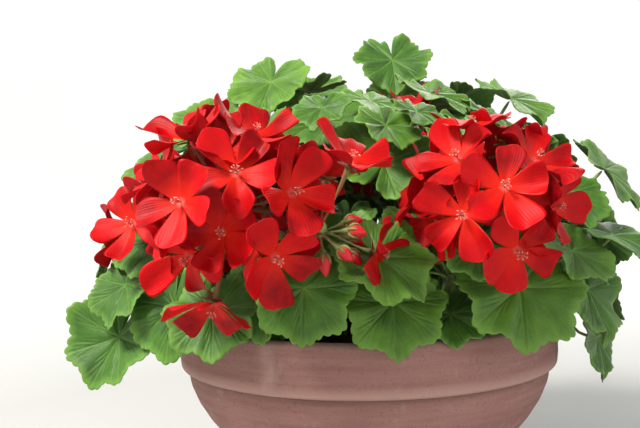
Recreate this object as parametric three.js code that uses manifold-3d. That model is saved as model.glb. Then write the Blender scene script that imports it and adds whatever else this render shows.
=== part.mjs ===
// A potted flowering geranium: a terracotta bowl of soil, three branching woody stems, flower stalks with
// their florets and buds, and round scalloped leaves. Millimetres, +Z up, the origin at the middle of the
// pot's flat base. The fullest side of the plant faces -Y.
import * as THREE from "three";
import { mergeVertices } from "three/addons/utils/BufferGeometryUtils.js";
import Module from "manifold-3d";

const wasm = await Module();
wasm.setup();

// ---- Driving dimensions, in millimetres ----
const GAP = 0.32; // clear space kept between two pieces that touch
const WELD = 1e-4; // vertices nearer than this are one
const LATHE_SIDES = 40;
const RIM_RADIUS = 160;
const POT_HEIGHT = 150;
const BAND_BOTTOM = 110; // height of the step under the rim band
const STEP_DEPTH = 5.5; // how far the band stands out over the bowl's wall
const BOWL_TOP_RADIUS = 152;
const BASE_RADIUS = 78;
const WALL_THICKNESS = 8.5;
const FLOOR_THICKNESS = 12;
const FOOT_SPREAD = 22; // how far and how high the bowl's slope at the base aims
const FOOT_RISE = 28;
const OUTER_BELLY = 72; // the heights that the upright ends of the two walls' curves pull towards
const INNER_BELLY = 76;
const OUTER_STEPS = 6;
const INNER_STEPS = 4;
const DRAIN_HOLES = 3;
const DRAIN_RADIUS = 6;
const DRAIN_RING = 48;
const SOIL_EDGE = 123;
const SOIL_TOP = 129;
const SOIL_SIDE_GAP = 0.6;
const STEM_BASE_RADIUS = 8;
const STEM_TIP_RADIUS = 3.2;
const STALK_BASE_RADIUS = 2.4;
const STALK_TIP_RADIUS = 1.8;
const HUB_RADIUS = 4.6; // swollen top of a flower stalk
const PEDICEL_RADIUS = 0.75;
const CALYX_RADIUS = 2.6;
const PEDICEL_LENGTH = 42; // from the hub's middle to a floret's middle
const FLORET_RADIUS = 27;
const FLORET_THICKNESS = 1.4;
const PETALS = 5;
const SPOKES_PER_PETAL = 4;
const PETAL_BROADNESS = 0.14; // how far the side spokes move outward, as a part of a petal's angle
const LEAF_THICKNESS = 1.8;
const LEAF_SPOKES = 16; // one on each lobe and one in each dip between two lobes
const LEAF_LOBES = 8; // the eighth lobe is the cleft where the petiole joins
const PETIOLE_RADIUS = 1.5;
const BUD_RADIUS = 3.4;
const INNER_RING = 0.56; // where a blade's inner ring of points lies, as a part of its radius

const COLOURS = {
  terracotta: [0x9a6a5e, 0.85],
  soil: [0x3a2b20, 0.95],
  bark: [0x6f6a48, 0.8],
  stalk: [0x86a050, 0.6],
  leaf: [0x4d7a2c, 0.55],
  petal: [0xd0101c, 0.5],
};

const group = new THREE.Group();
const placed = []; // every finished piece: { name, solid, box }

// ---- Solids ----
// A copy of a geometry that has only positions, with its shared vertices merged.
function weldedCopy(geometry) {
  const bare = geometry.clone();
  bare.deleteAttribute("normal");
  bare.deleteAttribute("uv");
  return mergeVertices(bare, WELD);
}

function toSolid(geometry) {
  const merged = weldedCopy(geometry);
  const solid = new wasm.Manifold(
    new wasm.Mesh({
      numProp: 3,
      vertProperties: new Float32Array(merged.attributes.position.array),
      triVerts: new Uint32Array(merged.index.array),
    }),
  );
  return solid;
}

function toGeometry(solid) {
  const mesh = solid.getMesh();
  const geometry = new THREE.BufferGeometry();
  geometry.setAttribute("position", new THREE.BufferAttribute(mesh.vertProperties, 3));
  geometry.setIndex(new THREE.BufferAttribute(mesh.triVerts, 1));
  geometry.computeVertexNormals();
  return geometry;
}

function addPiece(name, solid, look) {
  const [colour, roughness] = COLOURS[look];
  const material = new THREE.MeshStandardMaterial({ color: colour, roughness, metalness: 0 });
  const mesh = new THREE.Mesh(toGeometry(solid), material);
  mesh.name = name;
  group.add(mesh);
}

function boxOf(solid) {
  const { min, max } = solid.boundingBox();
  return new THREE.Box3(new THREE.Vector3(...min), new THREE.Vector3(...max));
}

function isClear(solid, skipped = []) {
  const reach = boxOf(solid).expandByScalar(GAP);
  return placed.every((other) => {
    const isApart = skipped.includes(other.name) || !reach.intersectsBox(other.box);
    return isApart || solid.minGap(other.solid, GAP * 2) >= GAP;
  });
}

function keep(name, solid) {
  placed.push({ name, solid, box: boxOf(solid) });
}

function moveVertices(geometry, move) {
  const merged = weldedCopy(geometry);
  const positions = merged.attributes.position;
  const point = new THREE.Vector3();
  for (let i = 0; i < positions.count; i += 1) {
    move(point.fromBufferAttribute(positions, i));
    positions.setXYZ(i, point.x, point.y, point.z);
  }
  return merged;
}

// A closed cylinder bent along a curve, with its own radius at each part of the way.
function bentTube(curve, radiusAt, sides, steps) {
  const frames = curve.computeFrenetFrames(steps, false);
  const tube = moveVertices(new THREE.CylinderGeometry(1, 1, 1, sides, steps), (point) => {
    const step = Math.round((point.y + 0.5) * steps);
    const radius = radiusAt(step / steps);
    const across = frames.normals[step].clone().multiplyScalar(point.x * radius);
    const along = frames.binormals[step].clone().multiplyScalar(-point.z * radius);
    point.copy(curve.getPointAt(step / steps)).add(across).add(along);
  });
  return toSolid(tube);
}

function latheSolid(profile) {
  const points = profile.map(([radius, height]) => new THREE.Vector2(radius, height));
  const geometry = new THREE.LatheGeometry(points, LATHE_SIDES);
  geometry.rotateX(Math.PI / 2);
  return toSolid(geometry);
}

// ---- Pot and soil ----
// A bowl's side as a curve of (radius, height): it leaves the base at a slope, then turns upright under the
// rim; belly is the height that the upright end of the curve pulls towards.
function bowlCurve(baseRadius, baseHeight, topRadius, topHeight, belly) {
  return new THREE.CubicBezierCurve(
    new THREE.Vector2(baseRadius, baseHeight),
    new THREE.Vector2(baseRadius + FOOT_SPREAD, baseHeight + FOOT_RISE),
    new THREE.Vector2(topRadius, belly),
    new THREE.Vector2(topRadius, topHeight),
  );
}

function pairs(curve, steps) {
  return curve.getPoints(steps).map((point) => [point.x, point.y]);
}

const outerWall = bowlCurve(BASE_RADIUS, 2, BOWL_TOP_RADIUS, BAND_BOTTOM, OUTER_BELLY);
const innerWall = bowlCurve(
  BASE_RADIUS - 6,
  FLOOR_THICKNESS + 1,
  BOWL_TOP_RADIUS - WALL_THICKNESS,
  BAND_BOTTOM - 2,
  INNER_BELLY,
);
const INNER_RIM_RADIUS = RIM_RADIUS - 10;
const INNER_RIM_HEIGHT = POT_HEIGHT - 5;

function makePot() {
  const wall = latheSolid([
    [0, 0],
    [BASE_RADIUS - 3, 0],
    ...pairs(outerWall, OUTER_STEPS),
    [BOWL_TOP_RADIUS + STEP_DEPTH, BAND_BOTTOM + 1.5],
    [BOWL_TOP_RADIUS + STEP_DEPTH + 1, BAND_BOTTOM + 4],
    [RIM_RADIUS, POT_HEIGHT - 5],
    [RIM_RADIUS - 0.6, POT_HEIGHT - 1.6],
    [RIM_RADIUS - 3.4, POT_HEIGHT],
    [RIM_RADIUS - 7.4, POT_HEIGHT - 1],
    [INNER_RIM_RADIUS, INNER_RIM_HEIGHT],
    ...pairs(innerWall, INNER_STEPS).reverse(),
    [0, FLOOR_THICKNESS],
  ]);
  let pot = wall;
  for (let i = 0; i < DRAIN_HOLES; i += 1) {
    const angle = (i * 2 * Math.PI) / DRAIN_HOLES + Math.PI / 6;
    const hole = new THREE.CylinderGeometry(DRAIN_RADIUS, DRAIN_RADIUS, 3 * FLOOR_THICKNESS, 12);
    hole.rotateX(Math.PI / 2);
    hole.translate(Math.cos(angle) * DRAIN_RING, Math.sin(angle) * DRAIN_RING, 0);
    pot = pot.subtract(toSolid(hole));
  }
  return pot;
}

// The soil fills the bowl with a small gap to its wall, up to a low dome.
function makeSoil() {
  const wallTop = innerWall.getPoint(1);
  const risen = (SOIL_EDGE - wallTop.y) / (INNER_RIM_HEIGHT - wallTop.y);
  const edgeRadius = wallTop.x + (INNER_RIM_RADIUS - wallTop.x) * risen;
  const side = pairs(innerWall, INNER_STEPS).map(([radius, height]) => [radius - SOIL_SIDE_GAP, height]);
  side[0][1] += GAP * 2;
  return latheSolid([
    [0, FLOOR_THICKNESS + GAP * 2],
    ...side,
    [edgeRadius - SOIL_SIDE_GAP, SOIL_EDGE],
    [118, SOIL_EDGE + 2.5],
    [60, SOIL_TOP - 1],
    [0, SOIL_TOP],
  ]);
}

// ---- Woody stems ----
// Each plant: its trunk and its branches as lists of points, the first point of a branch lying on the trunk.
const PLANTS = {
  plant_stem_left: [
    [[-42, -14, 96], [-44, -18, 128], [-52, -30, 152]],
    [[-48, -24, 142], [-62, -66, 168], [-80, -112, 186]],
    [[-46, -20, 135], [-92, -24, 162], [-146, -38, 186]],
    [[-48, -25, 145], [-62, -14, 190], [-84, 8, 244]],
  ],
  plant_stem_right: [
    [[44, -16, 96], [45, -18, 128], [50, -26, 150]],
    [[47, -21, 140], [54, -70, 166], [58, -112, 190]],
    [[46, -19, 134], [96, -24, 160], [150, -26, 196]],
    [[48, -24, 144], [48, -22, 196], [50, -12, 258]],
  ],
  plant_stem_back: [
    [[0, 52, 96], [1, 54, 126], [4, 58, 150]],
    [[2, 56, 138], [-42, 84, 168], [-88, 116, 202]],
    [[2, 56, 134], [46, 84, 166], [92, 112, 204]],
    [[3, 57, 144], [-2, 62, 214], [4, 64, 300]],
  ],
};
const STEM_SIDES = 7;
const STEM_STEPS = 5;

function branchCurve(points) {
  return new THREE.CatmullRomCurve3(points.map((point) => new THREE.Vector3(...point)));
}

function branchSolid(points, isTrunk, extra) {
  const start = isTrunk ? STEM_BASE_RADIUS : STEM_BASE_RADIUS - 2.4;
  const end = isTrunk ? STEM_BASE_RADIUS - 1.5 : STEM_TIP_RADIUS;
  const radiusAt = (part) => start + (end - start) * part + extra;
  return bentTube(branchCurve(points), radiusAt, STEM_SIDES, STEM_STEPS);
}

function stemSolid(branches, extra = 0) {
  return branches
    .map((points, index) => branchSolid(points, index === 0, extra))
    .reduce((joined, branch) => joined.add(branch));
}

const plants = Object.entries(PLANTS).map(([name, branches]) => ({
  name,
  solid: stemSolid(branches),
  swollen: stemSolid(branches, GAP + 0.1),
  curves: branches.slice(1).map(branchCurve),
  leaves: [],
}));

// ---- Flower stalks ----
// Each flower head: its plant and branch, how far along the branch its stalk leaves, and its hub.
const HEADS = {
  left: { plant: 0, branch: 0, at: 0.8, hub: [-95, -184, 246] },
  middle: { plant: 0, branch: 0, at: 0.55, hub: [-38, -188, 232] },
  right: { plant: 1, branch: 0, at: 0.9, hub: [76, -158, 246] },
  rear: { plant: 2, branch: 2, at: 0.7, hub: [38, 34, 286] },
  far_left: { plant: 0, branch: 1, at: 0.85, hub: [-158, -72, 232] },
};

function stalkCurve(head) {
  const start = plants[head.plant].curves[head.branch].getPointAt(head.at);
  const hub = new THREE.Vector3(...head.hub);
  const rise = new THREE.Vector3(0, 0, start.distanceTo(hub) * 0.35);
  const middle = start.clone().lerp(hub, 0.45).add(rise.multiplyScalar(-0.35));
  return new THREE.QuadraticBezierCurve3(start, middle, hub);
}

function hubSolid(centre, radius) {
  const ball = new THREE.SphereGeometry(radius, 8, 6);
  ball.translate(centre.x, centre.y, centre.z);
  return toSolid(ball);
}

function stalkSolid(head, extra = 0) {
  const curve = stalkCurve(head);
  const radiusAt = (part) => STALK_BASE_RADIUS + (STALK_TIP_RADIUS - STALK_BASE_RADIUS) * part + extra;
  const hub = hubSolid(new THREE.Vector3(...head.hub), HUB_RADIUS + extra);
  return bentTube(curve, radiusAt, 5, 5).add(hub);
}

// ---- Blades: a flattened ball whose outline, height and thickness are given ----
// The ball's top half becomes the upper face, with one point in the middle, one ring inside and one at
// the edge.
function bladeGeometry(spokes, radius, outline, height, thickness, spokeAngle = (angle) => angle) {
  return moveVertices(new THREE.SphereGeometry(1, spokes, 4), (point) => {
    const angle = spokeAngle(Math.atan2(-point.z, point.x));
    const ring = Math.hypot(point.x, point.z);
    const isEdge = ring > 0.9;
    const part = isEdge ? 1 : ring < 0.1 ? 0 : INNER_RING;
    const side = isEdge ? 0 : Math.sign(point.y);
    const reach = radius * outline(angle) * part;
    const lift = height(angle, reach / radius);
    point.set(Math.cos(angle) * reach, Math.sin(angle) * reach, lift * radius + (side * thickness) / 2);
  });
}

// The frame of a blade: its middle, the way its upper face looks, and the way its tip points.
function bladeFrame(middle, normal, tip) {
  const across = new THREE.Vector3().crossVectors(normal, tip).normalize();
  const along = new THREE.Vector3().crossVectors(across, normal).normalize();
  return new THREE.Matrix4().makeBasis(along, across, normal.clone().normalize()).setPosition(middle);
}

function direction(azimuth, elevation) {
  const turn = THREE.MathUtils.degToRad(azimuth);
  const rise = THREE.MathUtils.degToRad(elevation);
  return new THREE.Vector3(
    Math.cos(rise) * Math.cos(turn),
    Math.cos(rise) * Math.sin(turn),
    Math.sin(rise),
  );
}

// A repeatable number from -1 to 1 for a piece and a purpose.
function wobble(seed, purpose) {
  const wave = Math.sin(seed * 12.9898 + purpose * 78.233) * 43758.5453;
  return 2 * (wave - Math.floor(wave)) - 1;
}

// ---- Florets ----
function floretBlade(seed, radius, cup) {
  const petalPitch = (2 * Math.PI) / PETALS;
  const petalOf = (angle) => Math.floor((angle + Math.PI) / petalPitch + 1e-6) % PETALS;
  const placeInPetal = (angle) => {
    const turns = (angle + Math.PI) / petalPitch;
    return turns - Math.floor(turns + 1e-6); // 0 in the gap, 0.5 on the petal's middle line
  };
  // The two spokes beside a petal's middle line stand near its edges, so that the petals are broad.
  const spokeAngle = (angle) => {
    const inPetal = placeInPetal(angle);
    if (inPetal < 0.1 || Math.abs(inPetal - 0.5) < 0.1) return angle;
    return angle + (inPetal < 0.5 ? -1 : 1) * PETAL_BROADNESS * petalPitch;
  };
  const outline = (angle) => {
    const inPetal = placeInPetal(angle);
    const fullness = Math.max(0, Math.sin(Math.PI * inPetal)) ** 0.22;
    const size = 1 + 0.05 * wobble(seed, petalOf(angle)) - (petalOf(angle) > 2 ? 0.07 : 0);
    return Math.max(0.3, size * fullness);
  };
  const height = (angle, part) => {
    const petal = petalOf(angle);
    const inPetal = placeInPetal(angle);
    const petalCup = cup + 0.16 * wobble(seed, petal + 10);
    const curl = 0.12 * wobble(seed, petal + 20) * Math.cos(2 * Math.PI * inPetal);
    const lean = 0.14 * wobble(seed, petal + 30) * (inPetal - 0.5);
    return petalCup * part ** 1.3 + (curl + lean) * part ** 2;
  };
  return bladeGeometry(PETALS * SPOKES_PER_PETAL, radius, outline, height, FLORET_THICKNESS, spokeAngle);
}

function floretSolid(seed, hub, middle, normal, spin, radius, cup) {
  const tip = new THREE.Vector3(0, 0, -1).applyAxisAngle(normal, spin);
  if (Math.abs(normal.z) > 0.95) tip.set(Math.cos(spin), Math.sin(spin), 0);
  const blade = floretBlade(seed, radius, cup);
  blade.applyMatrix4(bladeFrame(middle, normal, tip));
  const foot = middle.clone().addScaledVector(normal, -FLORET_THICKNESS * 0.15);
  const bend = middle.clone().addScaledVector(normal, -hub.distanceTo(middle) * 0.42);
  const curve = new THREE.QuadraticBezierCurve3(hub, bend, foot);
  const radii = [PEDICEL_RADIUS, PEDICEL_RADIUS, PEDICEL_RADIUS * 1.3, CALYX_RADIUS * 0.75, CALYX_RADIUS];
  const pedicel = bentTube(curve, (part) => radii[Math.round(part * 4)], 4, 4);
  return toSolid(blade).add(pedicel);
}

// Each floret: its head, the way it lies from the hub (azimuth, elevation), its extra length and how open
// its cup is.
const FLORETS = {
  floret_left_1: ["left", -81, 25, 8, 0.26],
  floret_left_2: ["left", -116, 5, 12, 0.24],
  floret_left_3: ["left", -50, 8, 14, 0.32],
  floret_left_4: ["left", -57, -29, 18, 0.36],
  floret_left_5: ["left", -152, 58, 10, 0.4],
  floret_left_6: ["left", -30, 68, 6, 0.36],
  floret_left_7: ["left", -166, 26, 10, 0.4],
  floret_left_8: ["left", -132, -38, 4, 0.36],
  floret_left_9: ["left", 120, 64, 12, 0.4],
  floret_left_10: ["left", -118, -68, 4, 0.5],
  floret_left_11: ["left", 150, -6, 4, 0.4],
  floret_left_12: ["left", 66, 34, 2, 0.4],
  floret_middle_1: ["middle", -45, 56, 6, 0.5],
  floret_middle_2: ["middle", 84, 48, 2, 0.4],
  floret_right_1: ["right", -130, 36, 4, 0.3],
  floret_right_2: ["right", -118, -8, 10, 0.24],
  floret_right_3: ["right", -78, -34, 12, 0.2],
  floret_right_4: ["right", -90, 10, 6, 0.3],
  floret_right_5: ["right", -46, 36, 2, 0.36],
  floret_right_6: ["right", -150, 76, 4, 0.36],
  floret_right_7: ["right", 174, 12, 0, 0.42],
  floret_right_8: ["right", -24, -6, 0, 0.36],
  floret_right_9: ["right", 60, 46, 2, 0.36],
  floret_right_10: ["right", 40, -4, 0, 0.4],
  floret_right_11: ["right", 126, 30, 2, 0.4],
  floret_rear_1: ["rear", -106, 16, -6, 0.42],
  floret_rear_2: ["rear", 50, 36, -8, 0.42],
  floret_rear_3: ["rear", 168, 24, -8, 0.42],
  floret_far_left_1: ["far_left", -118, 2, -4, 0.4],
  floret_far_left_2: ["far_left", 110, 40, -6, 0.4],
};
const SPINS = [0, 12, 24, 36, 48, 60];
const STRETCHES = [0, 3, -3, 6, -6, 10, -10, 14, 18];
const TILTS = [[0, 0], [9, 0], [-9, 0], [0, 9], [0, -9], [15, 12], [-15, 12], [15, -12], [-15, -12]];
const SHRINKS = [1, 0.94, 0.88, 0.82, 0.76];

function* floretPoses() {
  for (const shrink of SHRINKS) {
    for (const [turn, rise] of TILTS) {
      for (const stretch of STRETCHES) {
        for (const spin of SPINS) yield { shrink, turn, rise, stretch, spin };
      }
    }
  }
}

function placeFloret(name, seed) {
  const [headName, azimuth, elevation, reach, cup] = FLORETS[name];
  const head = HEADS[headName];
  const hub = new THREE.Vector3(...head.hub);
  for (const pose of floretPoses()) {
    const outward = direction(azimuth + pose.turn, elevation + pose.rise);
    const middle = hub.clone().addScaledVector(outward, PEDICEL_LENGTH + reach + pose.stretch);
    const normal = outward.clone().lerp(new THREE.Vector3(0, -0.4, 0.6), 0.2).normalize();
    const spin = THREE.MathUtils.degToRad(pose.spin);
    const whole = floretSolid(seed, hub, middle, normal, spin, FLORET_RADIUS * pose.shrink, cup);
    const solid = whole.subtract(head.swollen);
    if (solid.decompose().length === 1 && isClear(solid)) {
      keep(name, solid);
      addPiece(name, solid, "petal");
      return;
    }
  }
  throw new Error("no clear place for " + name);
}

// ---- Buds ----
const BUDS = [[-30, 4, 26], [-44, -30, 24], [-4, -34, 26], [-8, 20, 22], [20, -12, 25], [-76, -50, 22]];

function budSolid(hub, azimuth, elevation, length) {
  const outward = direction(azimuth, elevation);
  const tip = hub.clone().addScaledVector(outward, length + BUD_RADIUS);
  const curve = new THREE.LineCurve3(hub, tip);
  const radii = [PEDICEL_RADIUS, PEDICEL_RADIUS, PEDICEL_RADIUS, BUD_RADIUS, BUD_RADIUS * 0.4];
  return bentTube(curve, (part) => radii[Math.round(part * 4)], 5, 4);
}

// The buds share a collar on the stalk just under the hub, so that they are one piece.
function budClusterSolid(head) {
  const hub = new THREE.Vector3(...head.hub);
  const along = stalkCurve(head).getTangentAt(1);
  const collarMiddle = hub.clone().addScaledVector(along, -HUB_RADIUS - 1.5);
  const collar = hubSolid(collarMiddle, HUB_RADIUS - 0.4);
  const joined = BUDS.reduce((whole, bud) => whole.add(budSolid(collarMiddle, ...bud)), collar);
  return joined.subtract(head.swollen);
}

// ---- Leaves ----
function leafOutline(angle) {
  const back = Math.abs(angle) / Math.PI;
  if (back > 0.99) return 0.2;
  const rounding = 1 - 0.3 * back ** 2.4;
  const lobe = 1 - 0.09 * (0.5 - 0.5 * Math.cos(LEAF_LOBES * angle));
  return rounding * lobe;
}

function leafBlade(seed, radius, cup, droop, fold) {
  const height = (angle, part) => {
    const along = part * Math.cos(angle);
    const across = part * Math.sin(angle);
    const bowl = cup * part ** 2;
    const fall = along > 0 ? -droop * along ** 2 : 0;
    const crease = fold * (Math.hypot(across, 0.1) - 0.1);
    const broadWave = 0.06 * Math.sin(3 * angle + 3 * wobble(seed, 1));
    const shortWave = 0.04 * Math.sin(5 * angle + 3 * wobble(seed, 2));
    return bowl + fall + crease + (broadWave + shortWave) * part ** 2;
  };
  return bladeGeometry(LEAF_SPOKES, radius, leafOutline, height, LEAF_THICKNESS);
}

// Each leaf: the blade's petiole point, its radius, the way its face looks (azimuth, elevation), a turn of
// its tip about that, and its cup, droop and fold.
const LEAVES = {
  leaf_front_1: [[-50, -184, 192], 37, -96, 34, 0, 0.06, 0.36, 0.0],
  leaf_front_2: [[0, -174, 216], 39, -76, 48, 40, 0.02, 0.22, 0.1],
  leaf_front_3: [[16, -116, 268], 42, -82, 34, 150, 0.1, 0.1, 0.3],
  leaf_front_4: [[10, -152, 178], 39, -84, 32, 0, 0.05, 0.22, 0.05],
  leaf_front_5: [[52, -132, 160], 28, -86, 50, 0, 0.05, 0.12, 0.05],
  leaf_front_6: [[94, -142, 190], 48, -78, 42, -10, 0.04, 0.24, 0.08],
  leaf_front_7: [[-88, -128, 196], 36, -98, 30, 10, 0.05, 0.2, 0.1],
  leaf_front_8: [[-108, -142, 166], 38, -104, 46, 10, 0.04, 0.22, 0.1],
  leaf_left_1: [[-152, -118, 178], 41, -118, 24, 0, 0.04, 0.2, 0.12],
  leaf_left_2: [[-196, -76, 144], 43, -112, 30, -20, 0.06, 0.14, 0.4],
  leaf_left_3: [[-208, -14, 216], 44, -164, 32, 0, 0.05, 0.22, 0.1],
  leaf_left_4: [[-172, 20, 284], 44, -150, 52, 10, 0.06, 0.18, 0.12],
  leaf_right_1: [[164, -84, 174], 43, -40, 32, 0, 0.05, 0.2, 0.1],
  leaf_right_2: [[182, -48, 130], 34, -34, 18, 0, 0.05, 0.16, 0.06],
  leaf_right_3: [[188, -72, 214], 39, -40, 66, 0, 0.03, 0.16, 0.08],
  leaf_right_4: [[198, -22, 266], 43, -30, 46, 0, 0.05, 0.2, 0.1],
  leaf_right_5: [[152, -64, 248], 39, -60, 44, 0, 0.05, 0.18, 0.12],
  leaf_right_6: [[208, 40, 214], 43, 14, 32, 0, 0.05, 0.22, 0.1],
  leaf_top_1: [[-30, -44, 312], 43, -100, 58, 0, 0.06, 0.18, 0.1],
};
// Young leaves that are still one piece with the woody stem they grew on, by plant.
const YOUNG_LEAVES = {
  plant_stem_left: [
    [[-118, -56, 256], 36, -126, 50, 0, 0.07, 0.18, 0.12],
    [[-112, 56, 300], 41, 146, 56, 0, 0.06, 0.18, 0.12],
    [[-150, 66, 250], 38, 140, 42, 0, 0.06, 0.18, 0.12],
    [[-62, -92, 262], 32, -100, 46, 0, 0.07, 0.18, 0.1],
    [[-206, 16, 164], 38, 176, 24, 0, 0.05, 0.2, 0.1],
    [[-104, 12, 238], 38, -170, 62, 0, 0.06, 0.16, 0.1],
    [[-44, 26, 340], 38, 150, 74, 0, 0.07, 0.16, 0.1],
    [[-160, -76, 226], 36, -124, 42, 0, 0.06, 0.18, 0.1],
    [[-70, -70, 210], 32, -110, 60, 0, 0.06, 0.16, 0.1],
    [[-198, 66, 208], 42, 158, 30, 0, 0.05, 0.22, 0.1],
    [[-130, -16, 316], 38, -130, 54, 0, 0.06, 0.16, 0.1],
    [[-76, -22, 344], 38, -110, 50, 0, 0.06, 0.16, 0.1],
    [[-186, -96, 192], 34, -130, 40, 0, 0.05, 0.18, 0.1],
    [[-146, 110, 220], 36, 140, 40, 0, 0.06, 0.18, 0.1],
  ],
  plant_stem_right: [
    [[106, -58, 290], 39, -62, 50, 0, 0.06, 0.18, 0.12],
    [[152, 40, 286], 41, 34, 54, 0, 0.06, 0.18, 0.12],
    [[58, 4, 334], 38, -40, 66, 0, 0.07, 0.18, 0.1],
    [[176, 88, 240], 39, 30, 38, 0, 0.06, 0.18, 0.12],
    [[204, 16, 164], 38, 4, 24, 0, 0.05, 0.2, 0.1],
    [[104, 44, 240], 38, 20, 62, 0, 0.06, 0.16, 0.1],
    [[44, -88, 226], 34, -88, 50, 0, 0.06, 0.18, 0.1],
    [[112, -88, 222], 34, -70, 48, 0, 0.06, 0.18, 0.1],
    [[36, -60, 262], 32, -80, 60, 0, 0.06, 0.16, 0.1],
    [[122, -20, 326], 38, -40, 60, 0, 0.06, 0.16, 0.1],
    [[88, 60, 330], 38, 60, 60, 0, 0.06, 0.16, 0.1],
    [[126, 90, 300], 36, 40, 46, 0, 0.06, 0.18, 0.1],
    [[208, 60, 180], 36, 20, 30, 0, 0.05, 0.2, 0.1],
    [[146, -110, 200], 36, -50, 44, 0, 0.06, 0.18, 0.1],
    [[26, -150, 230], 30, -80, 40, 0, 0.06, 0.16, 0.1],
  ],
  plant_stem_back: [
    [[-12, 100, 322], 42, 100, 62, 0, 0.06, 0.18, 0.12],
    [[84, 116, 286], 41, 60, 50, 0, 0.06, 0.18, 0.12],
    [[-80, 124, 280], 40, 120, 48, 0, 0.06, 0.18, 0.12],
    [[136, 144, 192], 40, 48, 26, 0, 0.06, 0.2, 0.12],
    [[-104, 168, 166], 38, 124, 24, 0, 0.05, 0.2, 0.1],
    [[-172, 112, 176], 40, 148, 26, 0, 0.05, 0.2, 0.1],
    [[4, 120, 250], 38, 90, 56, 0, 0.06, 0.16, 0.1],
    [[92, 172, 166], 36, 62, 22, 0, 0.05, 0.2, 0.1],
    [[148, 124, 238], 38, 42, 44, 0, 0.06, 0.18, 0.1],
    [[-62, 178, 224], 44, 108, 36, 0, 0.05, 0.22, 0.1],
    [[62, 176, 222], 44, 74, 34, 0, 0.05, 0.22, 0.1],
    [[2, 188, 170], 42, 92, 26, 0, 0.05, 0.22, 0.1],
    [[32, 70, 372], 38, -86, 40, 0, 0.07, 0.16, 0.1],
    [[-40, 74, 352], 36, -120, 48, 0, 0.07, 0.16, 0.1],
    [[44, 120, 344], 38, 70, 50, 0, 0.06, 0.18, 0.1],
    [[-150, 150, 210], 34, 130, 36, 0, 0.05, 0.2, 0.1],
  ],
};
const SHIFT_STEPS = [0, 6, -6, 12, -12, 18, -18];
const LEAF_TILTS = [[0, 0], [0, 10], [0, -10], [12, 0], [-12, 0], [0, 20], [0, -18], [20, 10], [-20, 10]];
const PETIOLE_BENDS = [
  [0, 0, 0],
  [14, 0, 0],
  [-14, 0, 0],
  [0, 14, 0],
  [0, -14, 0],
  [0, 0, 16],
  [0, 0, -14],
  [26, 0, 8],
  [-26, 0, 8],
  [0, 26, 8],
  [0, -26, 8],
];
const STARTS_PER_LEAF = 7;

// Small moves of a leaf from its own spot, the smallest first: { shift, turn, rise }.
function leafPoses() {
  const poses = [];
  for (const x of SHIFT_STEPS) {
    for (const y of SHIFT_STEPS) {
      for (const z of SHIFT_STEPS) {
        for (const [turn, rise] of LEAF_TILTS) {
          const size = Math.hypot(x, y, z) + 0.5 * Math.hypot(turn, rise);
          poses.push({ shift: new THREE.Vector3(x, y, z), turn, rise, size });
        }
      }
    }
  }
  return poses.filter((pose) => pose.size < 30).sort((first, second) => first.size - second.size);
}
const LEAF_POSES = leafPoses();

// Where on the plants a petiole could start, nearest first; a start lies lower than the blade.
function petioleStarts(middle, allowed) {
  const starts = [];
  for (const plant of allowed) {
    for (const curve of plant.curves) {
      for (const part of [0.3, 0.45, 0.6, 0.72, 0.84, 0.95]) {
        const point = curve.getPointAt(part);
        const tooHigh = Math.max(0, point.z - middle.z + 18);
        starts.push({ plant, point, cost: point.distanceTo(middle) + 3 * tooHigh });
      }
    }
  }
  return starts.sort((first, second) => first.cost - second.cost).slice(0, STARTS_PER_LEAF);
}

function petioleSolid(start, middle, normal, bend) {
  const length = start.distanceTo(middle);
  const lowBend = start.clone().lerp(middle, 0.3).add(new THREE.Vector3(0, 0, length * 0.12)).add(bend);
  const highBend = middle.clone().addScaledVector(normal, -length * 0.38);
  const end = middle.clone().addScaledVector(normal, -LEAF_THICKNESS * 0.15);
  const curve = new THREE.CubicBezierCurve3(start, lowBend, highBend, end);
  return bentTube(curve, () => PETIOLE_RADIUS, 4, 5);
}

function downhillTip(normal, turn) {
  const outward = new THREE.Vector3(normal.x, normal.y, 0).normalize();
  const down = outward.multiplyScalar(0.6).add(new THREE.Vector3(0, 0, -1));
  const tip = down.addScaledVector(normal, -down.dot(normal)).normalize();
  return tip.applyAxisAngle(normal, THREE.MathUtils.degToRad(turn));
}

function placeLeaf(row, seed, allowed) {
  const [spot, radius, azimuth, elevation, turn, cup, droop, fold] = row;
  const blade = leafBlade(seed, radius, cup, droop, fold);
  for (const pose of LEAF_POSES) {
    const normal = direction(azimuth + pose.turn, elevation + pose.rise);
    const middle = new THREE.Vector3(...spot).add(pose.shift);
    const placedBlade = blade.clone().applyMatrix4(bladeFrame(middle, normal, downhillTip(normal, turn)));
    const bladeSolid = toSolid(placedBlade);
    if (!isClear(bladeSolid)) continue;
    for (const start of petioleStarts(middle, allowed)) {
      for (const bend of PETIOLE_BENDS) {
        const petiole = petioleSolid(start.point, middle, normal, new THREE.Vector3(...bend));
        if (!isClear(petiole, [start.plant.name])) continue;
        const whole = bladeSolid.add(petiole);
        const cut = whole.subtract(start.plant.swollen);
        if (cut.decompose().length !== 1 || !isClear(cut)) continue;
        return { cut, whole, plant: start.plant };
      }
    }
  }
  throw new Error("no clear place for the leaf at " + spot);
}

// ---- Build ----
const pot = makePot();
keep("pot", pot);
addPiece("pot", pot, "terracotta");
const soil = plants.reduce((body, plant) => body.subtract(plant.swollen), makeSoil());
keep("soil", soil);
addPiece("soil", soil, "soil");
for (const plant of plants) keep(plant.name, plant.solid);

for (const [name, head] of Object.entries(HEADS)) {
  const stalk = stalkSolid(head).subtract(plants[head.plant].swollen);
  head.swollen = stalkSolid(head, GAP + 0.1);
  keep("flower_stalk_" + name, stalk);
  addPiece("flower_stalk_" + name, stalk, "stalk");
}

const budCluster = budClusterSolid(HEADS.middle);
keep("bud_cluster_middle", budCluster);
addPiece("bud_cluster_middle", budCluster, "petal");

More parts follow.
